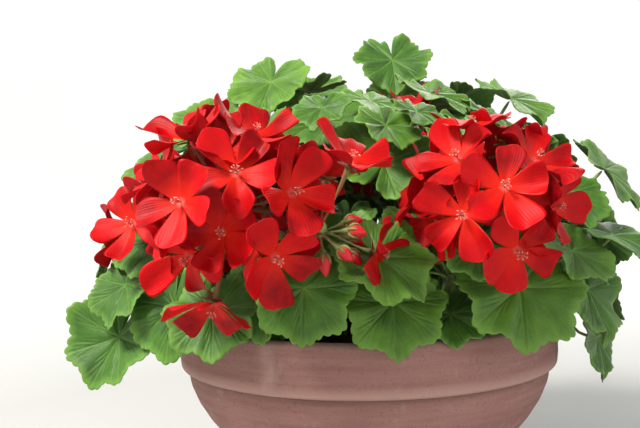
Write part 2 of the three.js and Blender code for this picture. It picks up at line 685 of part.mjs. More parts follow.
Object.keys(FLORETS).forEach((name, index) => placeFloret(name, index + 1));

Object.entries(LEAVES).forEach(([name, row], index) => {
  const leaf = placeLeaf(row, index + 50, plants);
  keep(name, leaf.cut);
  addPiece(name, leaf.cut, "leaf");
});

for (const plant of plants) {
  YOUNG_LEAVES[plant.name].forEach((row, index) => {
    const leaf = placeLeaf(row, index + 90, [plant]);
    keep(plant.name + "_young_" + index, leaf.cut);
    plant.leaves.push(leaf.whole);
  });
  const grown = plant.leaves.reduce((body, leaf) => body.add(leaf), plant.solid);
  addPiece(plant.name, grown, "bark");
}

export default group;
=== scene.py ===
# The looks of a potted flowering geranium. Each leaf and floret is rebuilt in fine detail on the middle,
# the outline and the rise of its CAD blade, and stems and stalks are smoothed copies of their CAD solids.
# Metres, +Z up, the camera side is -Y.
import math

import bmesh
import bpy
import numpy as np
from mathutils import Matrix, Vector


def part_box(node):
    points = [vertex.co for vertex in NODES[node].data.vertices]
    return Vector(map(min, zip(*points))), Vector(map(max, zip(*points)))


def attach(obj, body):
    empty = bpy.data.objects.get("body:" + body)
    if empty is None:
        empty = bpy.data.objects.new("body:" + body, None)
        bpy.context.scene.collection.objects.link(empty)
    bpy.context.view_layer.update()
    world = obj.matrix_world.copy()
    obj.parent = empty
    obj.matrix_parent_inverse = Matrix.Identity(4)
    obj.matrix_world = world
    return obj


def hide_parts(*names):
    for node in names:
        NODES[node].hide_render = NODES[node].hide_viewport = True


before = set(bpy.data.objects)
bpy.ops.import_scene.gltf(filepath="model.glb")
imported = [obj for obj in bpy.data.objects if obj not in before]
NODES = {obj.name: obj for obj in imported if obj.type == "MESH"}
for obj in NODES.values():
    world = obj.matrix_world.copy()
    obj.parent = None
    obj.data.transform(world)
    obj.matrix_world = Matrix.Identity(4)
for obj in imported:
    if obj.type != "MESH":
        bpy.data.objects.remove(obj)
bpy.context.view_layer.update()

# ---- Sizes, in metres ----
LEAF_SPOKES = 16
FLORET_SPOKES = 20
PETALS = 5
LEAF_THICKNESS = 0.0007
CAD_LEAF_HALF = 0.0009
CAD_FLORET_HALF = 0.0007
CLEFT_CLOSING = (0.62, 0.4, 0.2, 0.07)  # how far the spokes beside the cleft move to it, in spokes
PETAL_THICKNESS = 0.0003
WELD = 1e-5

TAU = 2 * math.pi


# ---- Mesh parts: arrays of points and faces, each with a material and its own shader values ----
class Part:
    """Points, faces and a material number, with one value a point for each named shader attribute."""

    def __init__(self, points, faces, material=0, **values):
        self.points = np.asarray(points, float)
        self.faces = faces
        self.material = material
        self.values = {key: np.broadcast_to(value, len(self.points)) for key, value in values.items()}


ATTRIBUTES = ("vein", "reach", "tone", "side")


def build_piece(name, parts, materials, nodes=()):
    """Joins parts into one smooth mesh object that rides on the root and stands for the CAD nodes."""
    points = np.concatenate([part.points for part in parts])
    faces, numbers, start = [], [], 0
    for part in parts:
        faces += [tuple(int(i) + start for i in face) for face in part.faces]
        numbers += [part.material] * len(part.faces)
        start += len(part.points)
    mesh = bpy.data.meshes.new(name)
    mesh.from_pydata(points.tolist(), [], faces)
    for key in ATTRIBUTES:
        column = np.concatenate([part.values.get(key, np.zeros(len(part.points))) for part in parts])
        mesh.attributes.new(key, "FLOAT", "POINT").data.foreach_set("value", column.astype(np.float32))
    for material in materials:
        mesh.materials.append(material)
    mesh.polygons.foreach_set("material_index", numbers)
    mesh.polygons.foreach_set("use_smooth", [True] * len(faces))
    mesh.update()
    piece = bpy.data.objects.new(name, mesh)
    bpy.context.scene.collection.objects.link(piece)
    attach(piece, "root")
    if nodes:
        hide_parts(*nodes)
    return piece


def grid_faces(rows, columns, closed=False, flip=False):
    """Quads of a grid of points kept row by row; closed joins the last column to the first."""
    faces = []
    for row in range(rows - 1):
        for column in range(columns if closed else columns - 1):
            after = (column + 1) % columns
            a, b = row * columns + column, row * columns + after
            quad = (a, b, b + columns, a + columns)
            faces.append(quad[::-1] if flip else quad)
    return faces


def fan_faces(middle, ring, count, flip=False):
    """Triangles from one point to a closed ring of points that starts at a given number."""
    steps = (0, 1) if flip else (1, 0)
    return [(middle, ring + (i + steps[0]) % count, ring + (i + steps[1]) % count) for i in range(count)]


def turned(outline, sides):
    """The points of an outline of (radius, height) turned about the Z axis, row by row."""
    turns = np.arange(sides) * TAU / sides
    outline = np.asarray(outline, float)
    radii, heights = outline[:, :1], outline[:, 1:]
    points = np.stack([radii * np.cos(turns), radii * np.sin(turns), heights * np.ones(sides)], -1)
    return points.reshape(-1, 3)


def shell(top, bottom, rows, columns):
    """A thin closed sheet from two open grids: the two faces and the strip round their edges."""
    count = rows * columns
    faces = grid_faces(rows, columns, flip=True)
    faces += [tuple(i + count for i in face) for face in grid_faces(rows, columns)]
    rim = [(0, c) for c in range(columns)] + [(r, columns - 1) for r in range(1, rows)]
    rim += [(rows - 1, c) for c in range(columns - 2, -1, -1)] + [(r, 0) for r in range(rows - 2, 0, -1)]
    loop = [r * columns + c for r, c in rim]
    faces += [(loop[i], loop[i] + count, loop[i - 1] + count, loop[i - 1]) for i in range(len(loop))]
    return np.concatenate([top, bottom]), faces


TUBE_SIDE = (0.31, 0.22, 0.92)  # no tube starts out in this direction


def tube(path, radii, sides=8, material=1, **values):
    """A closed tube along points, with a radius at each."""
    path = np.asarray(path, float)
    rows = len(path)
    along = np.gradient(path, axis=0)
    along /= np.linalg.norm(along, axis=1)[:, None]
    across = np.cross(along[0], TUBE_SIDE)
    rings = []
    for point, way, radius in zip(path, along, radii):
        across = across - way * across.dot(way)
        across /= np.linalg.norm(across)
        other = np.cross(way, across)
        turns = np.arange(sides) * TAU / sides
        rings.append(point + radius * (np.cos(turns)[:, None] * across + np.sin(turns)[:, None] * other))
    points = np.concatenate(rings + [path[:1], path[-1:]])
    faces = grid_faces(rows, sides, closed=True)
    faces += fan_faces(rows * sides, 0, sides)
    faces += fan_faces(rows * sides + 1, (rows - 1) * sides, sides, flip=True)
    return Part(points, faces, material, **values)


def curve_points(controls, count):
    """Points along a Bezier curve of any degree."""
    controls = [np.asarray(c, float) for c in controls]
    ways = np.linspace(0, 1, count)[:, None]
    while len(controls) > 1:
        controls = [a * (1 - ways) + b * ways for a, b in zip(controls, controls[1:])]
    return controls[0]


# ---- Reading the CAD blades ----
class Welded:
    """A CAD node's mesh with its points welded, and which points and faces meet."""

    def __init__(self, node):
        mesh = NODES[node].data
        mesh.calc_loop_triangles()
        raw = np.empty(len(mesh.vertices) * 3, np.float32)
        mesh.vertices.foreach_get("co", raw)
        raw = raw.reshape(-1, 3).astype(float)
        _, first, back = np.unique(np.round(raw / WELD), axis=0, return_index=True, return_inverse=True)
        self.points = raw[first]
        corners = np.empty(len(mesh.loop_triangles) * 3, np.int32)
        mesh.loop_triangles.foreach_get("vertices", corners)
        triangles = back.reshape(-1)[corners].reshape(-1, 3)
        keep = [len(set(t)) == 3 for t in triangles.tolist()]
        self.triangles = triangles[keep]
        self.edge_apex = {}
        self.touching = {}
        for number, (a, b, c) in enumerate(self.triangles.tolist()):
            for one, two, apex in ((a, b, c), (b, c, a), (c, a, b)):
                self.edge_apex[(one, two)] = apex
                self.touching.setdefault(one, []).append(number)

    def ring(self, pole):
        """The neighbours of a point in order, counter-clockwise seen from outside."""
        following = {}
        for number in self.touching[pole]:
            a, b, c = self.triangles[number].tolist()
            while a != pole:
                a, b, c = b, c, a
            following[b] = c
        start = min(following)
        order = [start]
        while following[order[-1]] != start:
            order.append(following[order[-1]])
        return order

    def poles(self, spokes):
        """The middle points of blades: those where exactly this many triangles meet."""
        return [point for point, faces in sorted(self.touching.items()) if len(faces) == spokes]


def smooth_periodic(values, spots):
    """A monotone cubic through values at whole numbers, repeating, read at the given spots."""
    values = np.asarray(values, float)
    count = len(values)
    steps = np.roll(values, -1) - values
    before = np.roll(steps, 1)
    is_peak = steps * before <= 0
    slope = np.where(is_peak, 0, 2 * steps * before / np.where(is_peak, 1, steps + before))
    low = np.floor(spots).astype(int)
    t = spots - low
    low %= count
    high = (low + 1) % count
    return (
        values[low] * (2 * t**3 - 3 * t**2 + 1)
        + slope[low] * (t**3 - 2 * t**2 + t)
        + values[high] * (-2 * t**3 + 3 * t**2)
        + slope[high] * (t**3 - t**2)
    )


class Blade:
    """A leaf's or a floret's plate: its middle, its axes, and for each spoke its angle, reach and rise."""

    def __init__(self, middle, axes, angles, reaches, slopes, bends):
        self.middle = np.asarray(middle, float)
        self.axes = np.asarray(axes, float)  # rows: towards the tip, across, and out of the upper face
        self.angles = angles
        self.reaches = reaches
        self.slopes = slopes
        self.bends = bends

    def to_world(self, local):
        return self.middle + local @ self.axes


def read_blade(welded, pole, thickness_half):
    """Reads a blade from its middle point, the ring round it and the ring at its edge."""
    inner = welded.ring(pole)
    count = len(inner)
    outer = [welded.edge_apex[(inner[(i + 1) % count], inner[i])] for i in range(count)]
    outer = outer[-1:] + outer[:-1]
    middle = welded.points[pole]
    near = welded.points[inner] - middle
    far = welded.points[outer] - middle
    out = np.cross(near, np.roll(near, -1, axis=0)).sum(0)
    out /= np.linalg.norm(out)
    flat = far - np.outer(far @ out, out)
    start = int(np.argmin(np.linalg.norm(flat, axis=1)))
    order = (np.arange(count) + start) % count
    near, far, flat = near[order], far[order], flat[order]
    tip = -flat[0] / np.linalg.norm(flat[0])
    axes = np.array([tip, np.cross(out, tip), out])
    near, far = near @ axes.T, far @ axes.T
    angles = np.unwrap(np.arctan2(far[:, 1], far[:, 0]))
    if angles[0] > 0:
        angles -= TAU
    near_reach = np.hypot(near[:, 0], near[:, 1])
    reaches = np.hypot(far[:, 0], far[:, 1])
    near_slope = near[:, 2] / near_reach
    far_slope = (far[:, 2] + thickness_half) / reaches
    bends = (far_slope - near_slope) / (reaches - near_reach)
    return Blade(middle, axes, angles, reaches, near_slope - bends * near_reach, bends)


def narrow_cleft(blade):
    """Brings a leaf's two basal lobes close together, so its cleft is a slit as on a grown leaf."""
    pitch = TAU / LEAF_SPOKES
    for step, share in enumerate(CLEFT_CLOSING, 1):
        blade.angles[step] -= share * pitch
        blade.angles[-step] += share * pitch
    return blade


BLADE_ABOVE = 0.6  # how far off a blade its own points may lie, in halves of its thickness
BLADE_BELOW = 2.6


def is_blade_point(blade, points, half):
    """Which points lie on the blade's faces or edge, and not on its petiole or pedicel."""
    local = (points - blade.middle) @ blade.axes.T
    reach = np.hypot(local[:, 0], local[:, 1])
    angle = np.arctan2(local[:, 1], local[:, 0])
    spot = np.interp(angle, np.append(blade.angles, blade.angles[0] + TAU), np.arange(len(blade.angles) + 1))
    spot = np.where(angle < blade.angles[0], 0, spot)
    index = np.round(spot).astype(int) % len(blade.angles)
    rise = blade.slopes[index] * reach + blade.bends[index] * reach**2
    below = rise - local[:, 2]
    is_level = (below > -BLADE_ABOVE * half) & (below < BLADE_BELOW * half)
    return is_level & (reach < blade.reaches[index] * 1.02 + 1e-4)


def smoothed_rest(welded, blades, half, material, levels=2, **values):
    """The node's surface without its blades, smoothed by subdivision, as a part."""
    taken = np.zeros(len(welded.points), bool)
    for blade in blades:
        taken |= is_blade_point(blade, welded.points, half)
    rest = [tuple(t) for t in welded.triangles.tolist() if not all(taken[list(t)])]
    used = sorted({i for t in rest for i in t})
    number = {old: new for new, old in enumerate(used)}
    mesh = bpy.data.meshes.new("rest")
    mesh.from_pydata(welded.points[used].tolist(), [], [tuple(number[i] for i in t) for t in rest])
    loose = bmesh.new()
    loose.from_mesh(mesh)
    bmesh.ops.holes_fill(loose, edges=[e for e in loose.edges if e.is_boundary], sides=0)
    loose.to_mesh(mesh)
    loose.free()
    holder = bpy.data.objects.new("rest", mesh)
    bpy.context.scene.collection.objects.link(holder)
    holder.modifiers.new("smooth", "SUBSURF").levels = levels
    smooth = holder.evaluated_get(bpy.context.evaluated_depsgraph_get()).to_mesh()
    points = np.empty(len(smooth.vertices) * 3, np.float32)
    smooth.vertices.foreach_get("co", points)
    faces = [tuple(p.vertices) for p in smooth.polygons]
    bpy.data.objects.remove(holder)
    bpy.data.meshes.remove(mesh)
    return Part(points.reshape(-1, 3), faces, material, **values)


# ---- Leaves ----
LEAF_SAMPLES = 216
LEAF_RINGS = 14
FILL_SAMPLES = 144
FILL_RINGS = 10
TEETH = 37
TOOTH_DEPTH = 0.058  # as a part of the leaf's reach
LOBE_DEPTH = 0.025
RUFFLE = 0.07
PLEAT = 0.022
VEIN_WIDTH = 0.0009
VEIN_DEPTH = 0.0006
VEIN_RIDGE = 0.0005  # how far a vein stands out under the leaf
QUILT_HEIGHT = 0.0009
# Side veins: where on its main vein one starts, where it ends, how far it turns off, and its strength.
SIDE_VEINS = ((0.34, 0.9, 0.2, 0.6), (0.56, 0.95, 0.12, 0.5), (0.2, 0.6, 0.24, 0.35))


def vein_lines(blade):
    """The palmate veins in the blade's own plane: seven main ones, each forking on both sides."""
    lines = []
    for lobe in range(2, LEAF_SPOKES, 2):
        angle, reach = blade.angles[lobe], blade.reaches[lobe] * 0.97
        main = np.array([math.cos(angle), math.sin(angle)])
        lines.append((np.zeros(2), main * reach, 1.0))
        for start, end, turn, strength in SIDE_VEINS:
            for side in (-1, 1):
                way = np.array([math.cos(angle + side * turn), math.sin(angle + side * turn)])
                lines.append((main * reach * start, way * reach * end, strength))
    return lines


def vein_strength(flat, lines, reach):
    """How close each point of the plane is to a vein, from 0 to 1; veins thin out towards the margin."""
    best = np.zeros(len(flat))
    taper = 1.15 - 0.75 * np.linalg.norm(flat, axis=1) / reach
    for start, end, strength in lines:
        way = end - start
        length = np.linalg.norm(way)
        part = np.clip((flat - start) @ way / length**2, 0, 1)
        gap = np.linalg.norm(flat - start - part[:, None] * way, axis=1)
        width = VEIN_WIDTH * taper * (0.6 + 0.4 * strength)
        best = np.maximum(best, strength * np.exp(-((gap / width) ** 2)))
    return best


def leaf_margin(blade, spots, draw):
    """A leaf's outline: the CAD reach with lobes and scalloped teeth, which fade out at the cleft.

    Returns the reach at each spot, the leaf's mean reach, and how far each spot is from the cleft, 0 to 1.
    """
    reaches = smooth_periodic(blade.reaches, spots)
    mean_reach = float(np.mean(blade.reaches[4:13]))
    tooth = np.abs(np.sin(math.pi * TEETH * spots / LEAF_SPOKES)) ** 0.6
    tooth_size = 0.6 + 0.8 * smooth_periodic(draw.random(24), spots * 24 / LEAF_SPOKES)
    away = np.clip(np.minimum(spots, LEAF_SPOKES - spots) / 1.2, 0, 1)
    lobe = LOBE_DEPTH * np.cos(math.pi * spots)
    change = TOOTH_DEPTH * (tooth - 0.55) * tooth_size + lobe - 0.01
    return reaches + mean_reach * change * away, mean_reach, away


def plate_faces(rings, samples):
    """Faces of a thin round plate: upper rings, lower rings, then its upper and its lower middle point."""
    count = rings * samples
    edge = count - samples
    faces = grid_faces(rings, samples, closed=True, flip=True)
    faces += [tuple(i + count for i in face) for face in grid_faces(rings, samples, closed=True)]
    faces += fan_faces(2 * count, 0, samples, flip=True) + fan_faces(2 * count + 1, count, samples)
    for i in range(samples):
        here, after = edge + i, edge + (i + 1) % samples
        faces.append((here, here + count, after + count, after))
    return faces


def leaf_part(blade, seed, samples=LEAF_SAMPLES, rings=LEAF_RINGS):
    """A leaf blade with scalloped margin, pleats, ruffles and veins, as one thin closed sheet."""
    draw = np.random.default_rng(seed)
    spots = np.arange(samples) * LEAF_SPOKES / samples
    angles = np.interp(spots, np.arange(LEAF_SPOKES + 1), np.append(blade.angles, blade.angles[0] + TAU))
    slopes = smooth_periodic(blade.slopes, spots)
    bends = smooth_periodic(blade.bends, spots)
    reaches, mean_reach, away = leaf_margin(blade, spots, draw)
    parts = 1 - (1 - np.linspace(0, 1, rings + 1)[1:]) ** 1.25
    reach = parts[:, None] * reaches
    rise = slopes * reach + bends * reach**2
    wave_a, wave_b = draw.uniform(0, TAU, 2)
    count_a, count_b = draw.integers(5, 8), draw.integers(10, 14)
    strength = draw.uniform(0.6, 1.25)
    wave = np.sin(count_a * angles + wave_a) + 0.5 * np.sin(count_b * angles + wave_b)
    rise = rise + strength * RUFFLE * mean_reach * parts[:, None] ** 2.8 * wave * away
    rise = rise - PLEAT * mean_reach * parts[:, None] * np.cos(math.pi * spots) * away
    flat = np.stack([reach * np.cos(angles), reach * np.sin(angles)], -1).reshape(-1, 2)
    veins = vein_strength(flat, vein_lines(blade), mean_reach)
    puff = 1 - np.clip(veins * 1.6, 0, 1)
    inside = (np.sin(math.pi * np.clip(parts, 0, 1)) ** 0.6)[:, None] * np.ones(samples)
    relief = QUILT_HEIGHT * puff * inside.reshape(-1) - VEIN_DEPTH * veins
    top = np.column_stack([flat, rise.reshape(-1) + relief])
    bottom = top - np.outer(LEAF_THICKNESS + VEIN_RIDGE * veins, (0, 0, 1))
    middle = np.array([[0, 0, 0.0], [0, 0, -LEAF_THICKNESS]])
    points = blade.to_world(np.concatenate([top, bottom, middle]))
    vein = np.concatenate([veins, veins, [1, 1]])
    reach_value = np.append(np.tile(np.repeat(parts, samples), 2), [0, 0])
    side = np.append(np.repeat([0.0, 1.0], len(top)), [0, 1])
    faces = plate_faces(rings, samples)
    return Part(points, faces, 0, vein=vein, reach=reach_value, tone=draw.random(), side=side)


# ---- Florets ----
PETAL_ROWS = 16
PETAL_COLUMNS = 13
PETAL_FIRST_SPOKE = 1  # the spoke before a petal's middle line; spoke 0 is a gap
PETAL_GROWTH = 1.07  # how far the rounded petal reaches past its flat-ended CAD outline
PETAL_BEND = 0.0042  # how far a petal cups across itself and curls along itself
PETAL_TWIST = 0.0024
PETAL_FOLD = 0.009  # the rise of the sides of the most sharply folded petal
PETAL_RIPPLE = 0.0014
PETAL_CREASE = 0.0008
SEPAL_LENGTH = 0.009
SEPAL_HALF_WIDTH = 0.0017
SEPAL_ROWS = 7
SEPAL_COLUMNS = 4
STAMENS = 7
FILAMENT_RADIUS = 0.00026
ANTHER_HALF_LENGTH = 0.0008
ANTHER_RADIUS = 0.0004
STIGMA_ARMS = 5
STIGMA_HEIGHT = 0.0088
STIGMA_SPREAD = 0.0022


def petal_width(way):
    """A petal's half width along its length: a narrow claw, then broad, then a blunt round tip."""
    return 0.07 * (1 - way) + 1.12 * way**0.85 * np.sqrt(np.clip(1 - way**7, 0, 1))


def petal_shape(lateral, way, draw):
    """How far a petal rises off its flat form: cupped, curled, twisted, folded, rippled and creased."""
    cup, curl, twist = draw.normal(0.35, 0.95), draw.normal(-0.4, 1.1), draw.normal(0, 0.7)
    fold = PETAL_FOLD * draw.random() ** 3
    rise = PETAL_BEND * (cup * lateral**2 * way + curl * way**3.2)
    rise = rise + PETAL_TWIST * (0.6 + twist) * lateral * way**0.7
    rise = rise + fold * np.abs(lateral) ** 1.3 * way
    ripple = np.sin(4.2 * lateral + draw.uniform(0, TAU)) * way**2.5
    crease = np.exp(-((lateral / 0.16) ** 2)) * np.sin(math.pi * np.clip(way, 0, 1)) ** 0.7
    grooves = 0.0003 * np.cos(3 * math.pi * lateral) * way
    return rise + PETAL_RIPPLE * ripple - PETAL_CREASE * crease + grooves


def petal_part(blade, petal, draw):
    """One petal on its three spokes of the CAD floret, cupped and curled, as a thin closed sheet."""
    spokes = [PETAL_FIRST_SPOKE + 4 * petal + k for k in range(3)]
    angles, reaches = blade.angles[spokes], blade.reaches[spokes]
    spread = (angles[2] - angles[0]) / 2
    length = reaches[1] * PETAL_GROWTH * draw.uniform(0.94, 1.04)
    half = reaches[[0, 2]].mean() * math.sin(spread) * draw.uniform(1.15, 1.42)
    ways = np.sin(np.linspace(0, math.pi / 2, PETAL_ROWS)) ** 0.9
    sides = np.linspace(-1, 1, PETAL_COLUMNS)
    way = ways[:, None]
    lateral = petal_width(ways)[:, None] * sides
    margin = 0.03 * np.sin(3.5 * lateral + draw.uniform(0, TAU)) - 0.03 * lateral**2
    along = way * length * (1 + margin * way**2)
    across = lateral * half + 0.04 * length * draw.uniform(-1, 1) * way**2
    reach = np.hypot(along, across)
    turn = np.clip(np.arctan2(across, np.maximum(along, 1e-6)), -0.7, 0.7)
    spot = np.clip(turn / spread, -1.2, 1.2)
    mix = np.stack([spot * (spot - 1) / 2, 1 - spot**2, spot * (spot + 1) / 2])
    slope = np.tensordot(blade.slopes[spokes], mix, 1)
    bend = np.tensordot(blade.bends[spokes], mix, 1)
    rise = slope * reach + bend * reach**2 + petal_shape(lateral, way, draw)
    angle = angles[1] + turn
    top = np.stack([reach * np.cos(angle), reach * np.sin(angle), rise], -1).reshape(-1, 3)
    bottom = top - (0, 0, PETAL_THICKNESS)
    points, faces = shell(top, bottom, PETAL_ROWS, PETAL_COLUMNS)
    points = blade.to_world(points)
    reach_value = np.tile(np.repeat(ways, PETAL_COLUMNS), 2)
    vein = np.tile(sides * 0.5 + 0.5, 2 * PETAL_ROWS)
    side = np.repeat([0.0, 1.0], PETAL_ROWS * PETAL_COLUMNS)
    return Part(points, faces, 0, reach=reach_value, vein=vein, side=side, tone=draw.random())


def sepal_part(blade, turn, draw):
    """One pointed green sepal behind the petals."""
    ways = np.linspace(0, 1, SEPAL_ROWS)
    sides = np.linspace(-1, 1, SEPAL_COLUMNS)
    half_widths = SEPAL_HALF_WIDTH * np.sin(math.pi * np.clip(ways * 0.85 + 0.14, 0, 1))
    across = half_widths[:, None] * sides
    along = (ways * SEPAL_LENGTH)[:, None] * np.ones(SEPAL_COLUMNS)
    rise = -0.0028 + 0.0045 * ways[:, None] * draw.uniform(-0.8, 0.5) + 0.0006 * sides**2
    x = along * math.cos(turn) - across * math.sin(turn)
    y = along * math.sin(turn) + across * math.cos(turn)
    top = np.stack([x, y, rise], -1).reshape(-1, 3)
    points, faces = shell(top, top - (0, 0, PETAL_THICKNESS), SEPAL_ROWS, SEPAL_COLUMNS)
    return Part(blade.to_world(points), faces, 1, reach=0.4, tone=draw.random())


def stamen_parts(blade, draw):
    """Thin pink filaments with small pale anthers, and the darker five-way stigma in their middle."""
    parts = []
    for number in range(STAMENS):
        turn = TAU * number / STAMENS + draw.uniform(-0.25, 0.25)
        lean, length = draw.uniform(0.25, 0.6), draw.uniform(0.006, 0.0085)
        way = np.array([math.cos(turn) * lean, math.sin(turn) * lean, 1.0])
        end = way / np.linalg.norm(way) * length
        path = curve_points([(0, 0, -0.0002), (0, 0, length * 0.55), end], 5)
        parts.append(tube(blade.to_world(path), [FILAMENT_RADIUS] * 5, 5, 2, reach=0.2))
        bar = np.cross(way, (0.3, 0.1, 0.4))
        bar /= np.linalg.norm(bar)
        anther = end + np.outer((-1, -0.5, 0.5, 1), bar * ANTHER_HALF_LENGTH)
        widths = ANTHER_RADIUS * np.array((0.375, 1, 1, 0.375))
        parts.append(tube(blade.to_world(anther), widths, 6, 2, reach=1.0))
    for number in range(STIGMA_ARMS):
        turn = TAU * number / STIGMA_ARMS + 0.3
        x, y = math.cos(turn) * STIGMA_SPREAD, math.sin(turn) * STIGMA_SPREAD
        bow = (x * 0.6, y * 0.6, STIGMA_HEIGHT + 0.001)
        path = curve_points([(0, 0, 0), (0, 0, STIGMA_HEIGHT - 0.0003), bow, (x, y, STIGMA_HEIGHT)], 6)
        widths = [0.00032, 0.00028, 0.00026, 0.00024, 0.00022, 0.0001]
        parts.append(tube(blade.to_world(path), widths, 5, 2, reach=0.5))
    return parts


def bloom_parts(blade, draw):
    """Petals, sepals and stamens on a floret's blade."""
    parts = [petal_part(blade, petal, draw) for petal in range(PETALS)]
    for number in range(PETALS):
        parts.append(sepal_part(blade, blade.angles[2] + TAU * (number + 0.5) / PETALS, draw))
    return parts + stamen_parts(blade, draw)


def make_floret(node, seed):
    """A detailed floret in place of a CAD one; returns its blade."""
    draw = np.random.default_rng(seed)
    welded = Welded(node)
    blade = read_blade(welded, welded.poles(FLORET_SPOKES)[0], CAD_FLORET_HALF)
    parts = bloom_parts(blade, draw)
    parts.append(smoothed_rest(welded, [blade], CAD_FLORET_HALF, 1, reach=0.8, tone=draw.random()))
    TAKEN.add(parts[0].points)
    build_piece(node + "_bloom", parts, FLORET_LOOKS, [node])
    return blade


def make_leaf(node, seed):
    """A detailed leaf and its smoothed petiole in place of a CAD leaf."""
    welded = Welded(node)
    blade = read_blade(welded, welded.poles(LEAF_SPOKES)[0], CAD_LEAF_HALF)
    rest = smoothed_rest(welded, [blade], CAD_LEAF_HALF, 1, reach=0.5, tone=0.5)
    leaf = leaf_part(narrow_cleft(blade), seed)
    TAKEN.add(leaf.points)
    build_piece(node + "_blade", [leaf, rest], [MATERIALS["leaf"], MATERIALS["stalk"]], [node])


BARK_HEIGHT = 0.12  # over these distances, up from the soil and out from the axis, bark turns green
BARK_SPREAD = 0.25


def make_plant(node, seed):
    """A woody stem with its young leaves; returns the points of its wood."""
    welded = Welded(node)
    blades = [read_blade(welded, pole, CAD_LEAF_HALF) for pole in welded.poles(LEAF_SPOKES)]
    wood = smoothed_rest(welded, blades, CAD_LEAF_HALF, 1)
    leaves = [leaf_part(narrow_cleft(blade), seed + number) for number, blade in enumerate(blades)]
    for leaf in leaves:
        TAKEN.add(leaf.points)
    height = wood.points[:, 2] - SOIL_LEVEL
    away = np.hypot(wood.points[:, 0], wood.points[:, 1])
    wood.values["reach"] = np.clip(height / BARK_HEIGHT + away / BARK_SPREAD - 0.25, 0, 1)
    build_piece(node + "_growth", leaves + [wood], [MATERIALS["leaf"], MATERIALS["stem"]], [node])
    return wood.points


def make_stalk(node):
    """A flower stalk as a smoothed copy of the CAD one."""
    rest = smoothed_rest(Welded(node), [], 0, 0, tone=0.4)
    TAKEN.add(rest.points)
    build_piece(node + "_green", [rest], [MATERIALS["stalk"]], [node])


BUD_START = 0.02  # from the hub to where the buds begin
BUD_SPACING = 0.009
BUD_LENGTH = 0.0125
BUD_HALF_WIDTH = 0.0043
BUD_ROWS = 12
BUD_SIDES = 14
BUD_SWIRL = 0.00035
BUD_SEPAL_END = 0.62  # how far along the bud its sepals reach, and where the CAD bud's tip lies


def make_buds(node, hub, draw):
    """The bud cluster: thin green pedicels, and at the end of each a plump bud with a red tip."""
    welded = Welded(node)
    gaps = np.linalg.norm(welded.points - hub, axis=1)
    ends = [welded.points[i] for i in np.argsort(-gaps) if gaps[i] > BUD_START]
    tips = []
    for end in ends:
        if all(np.linalg.norm(end - tip) > BUD_SPACING for tip in tips):
            tips.append(end)
    parts = [smoothed_rest(welded, [], 0, 1, reach=0.0, tone=0.2)]
    for tip in tips:
        parts += bud_parts(hub, tip, draw)
    build_piece(node + "_green", parts, [MATERIALS["bud"], MATERIALS["calyx"]], [node])


def bud_parts(hub, tip, draw):
    """One bud: rolled red petals in a bent spindle, held by five pointed green sepals."""
    way = (tip - hub) / np.linalg.norm(tip - hub)
    across = np.cross(way, (0.2, 0.3, 0.9))
    across /= np.linalg.norm(across)
    other = np.cross(way, across)
    spots = np.linspace(0, 1, BUD_ROWS)
    widths = BUD_HALF_WIDTH * (np.sin(math.pi * spots**0.8) ** 0.75 * 0.95 + 0.03)
    nod = draw.uniform(0, 0.003)
    path = tip + np.outer((spots - BUD_SEPAL_END) * BUD_LENGTH, way) - np.outer(nod * spots**2, (0, 0, 1))
    redness = np.append(np.repeat(np.clip(0.35 + 1.5 * spots, 0, 1), BUD_SIDES), [0.3, 1.0])
    spindle = tube(path, widths, BUD_SIDES, 0, reach=redness)
    swirl = np.arctan2((spindle.points - tip) @ other, (spindle.points - tip) @ across)
    spindle.points = spindle.points + np.outer(BUD_SWIRL * np.sin(3 * swirl), across)
    parts = [spindle]
    for number in range(PETALS):
        turn = TAU * number / PETALS + draw.uniform(-0.2, 0.2)
        out = math.cos(turn) * across + math.sin(turn) * other
        ways = np.linspace(0, 1, 6)
        bow = np.interp(ways * BUD_SEPAL_END, spots, widths) + 0.0003
        spine = path[0] + np.outer(ways * BUD_SEPAL_END * BUD_LENGTH, way) + bow[:, None] * out
        widths_here = 0.0011 * (1 - ways**2) + 0.00015
        parts.append(tube(spine, widths_here, 6, 1, reach=0.3, tone=draw.random() * 0.5))
    return parts


# ---- Growth that fills the plant: small leaves and inner florets between the CAD's own ----
class Taken:
    """The small cells of space that leaves and petals already fill."""

    CELL = 0.007

    def __init__(self):
        self.cells = set()

    def add(self, points):
        self.cells.update(map(tuple, np.floor(points[::3] / self.CELL).astype(int).tolist()))

    def share(self, points):
        """The part of these points that lies in filled cells."""
        cells = map(tuple, np.floor(points / self.CELL).astype(int).tolist())
        return sum(cell in self.cells for cell in cells) / len(points)


TAKEN = Taken()


def axes_towards(normal, downhill):
    """A blade's axes from the way its face looks and the way its tip should point."""
    normal = normal / np.linalg.norm(normal)
    tip = downhill - normal * downhill.dot(normal)
    tip /= np.linalg.norm(tip)
    return np.array([tip, np.cross(normal, tip), normal])


def free_leaf(middle, normal, size, draw):
    """A small leaf's blade, with the same outline rule as the CAD leaves."""
    count = LEAF_SPOKES
    angles = -math.pi + np.arange(count) * TAU / count
    back = np.abs(angles) / math.pi
    reaches = size * (1 - 0.3 * back**2.4) * (1 - 0.09 * (0.5 - 0.5 * np.cos(8 * angles)))
    reaches[0] = 0.2 * size
    bowl, droop = draw.uniform(0.02, 0.1), draw.uniform(0.05, 0.25)
    bends = (bowl - droop * np.clip(np.cos(angles), 0, 1) ** 2) / size
    slopes = draw.uniform(0.02, 0.12) * np.abs(np.sin(angles))
    axes = axes_towards(normal, np.array([normal[0], normal[1], -0.8]))
    return narrow_cleft(Blade(middle, axes, angles, reaches, slopes, bends))


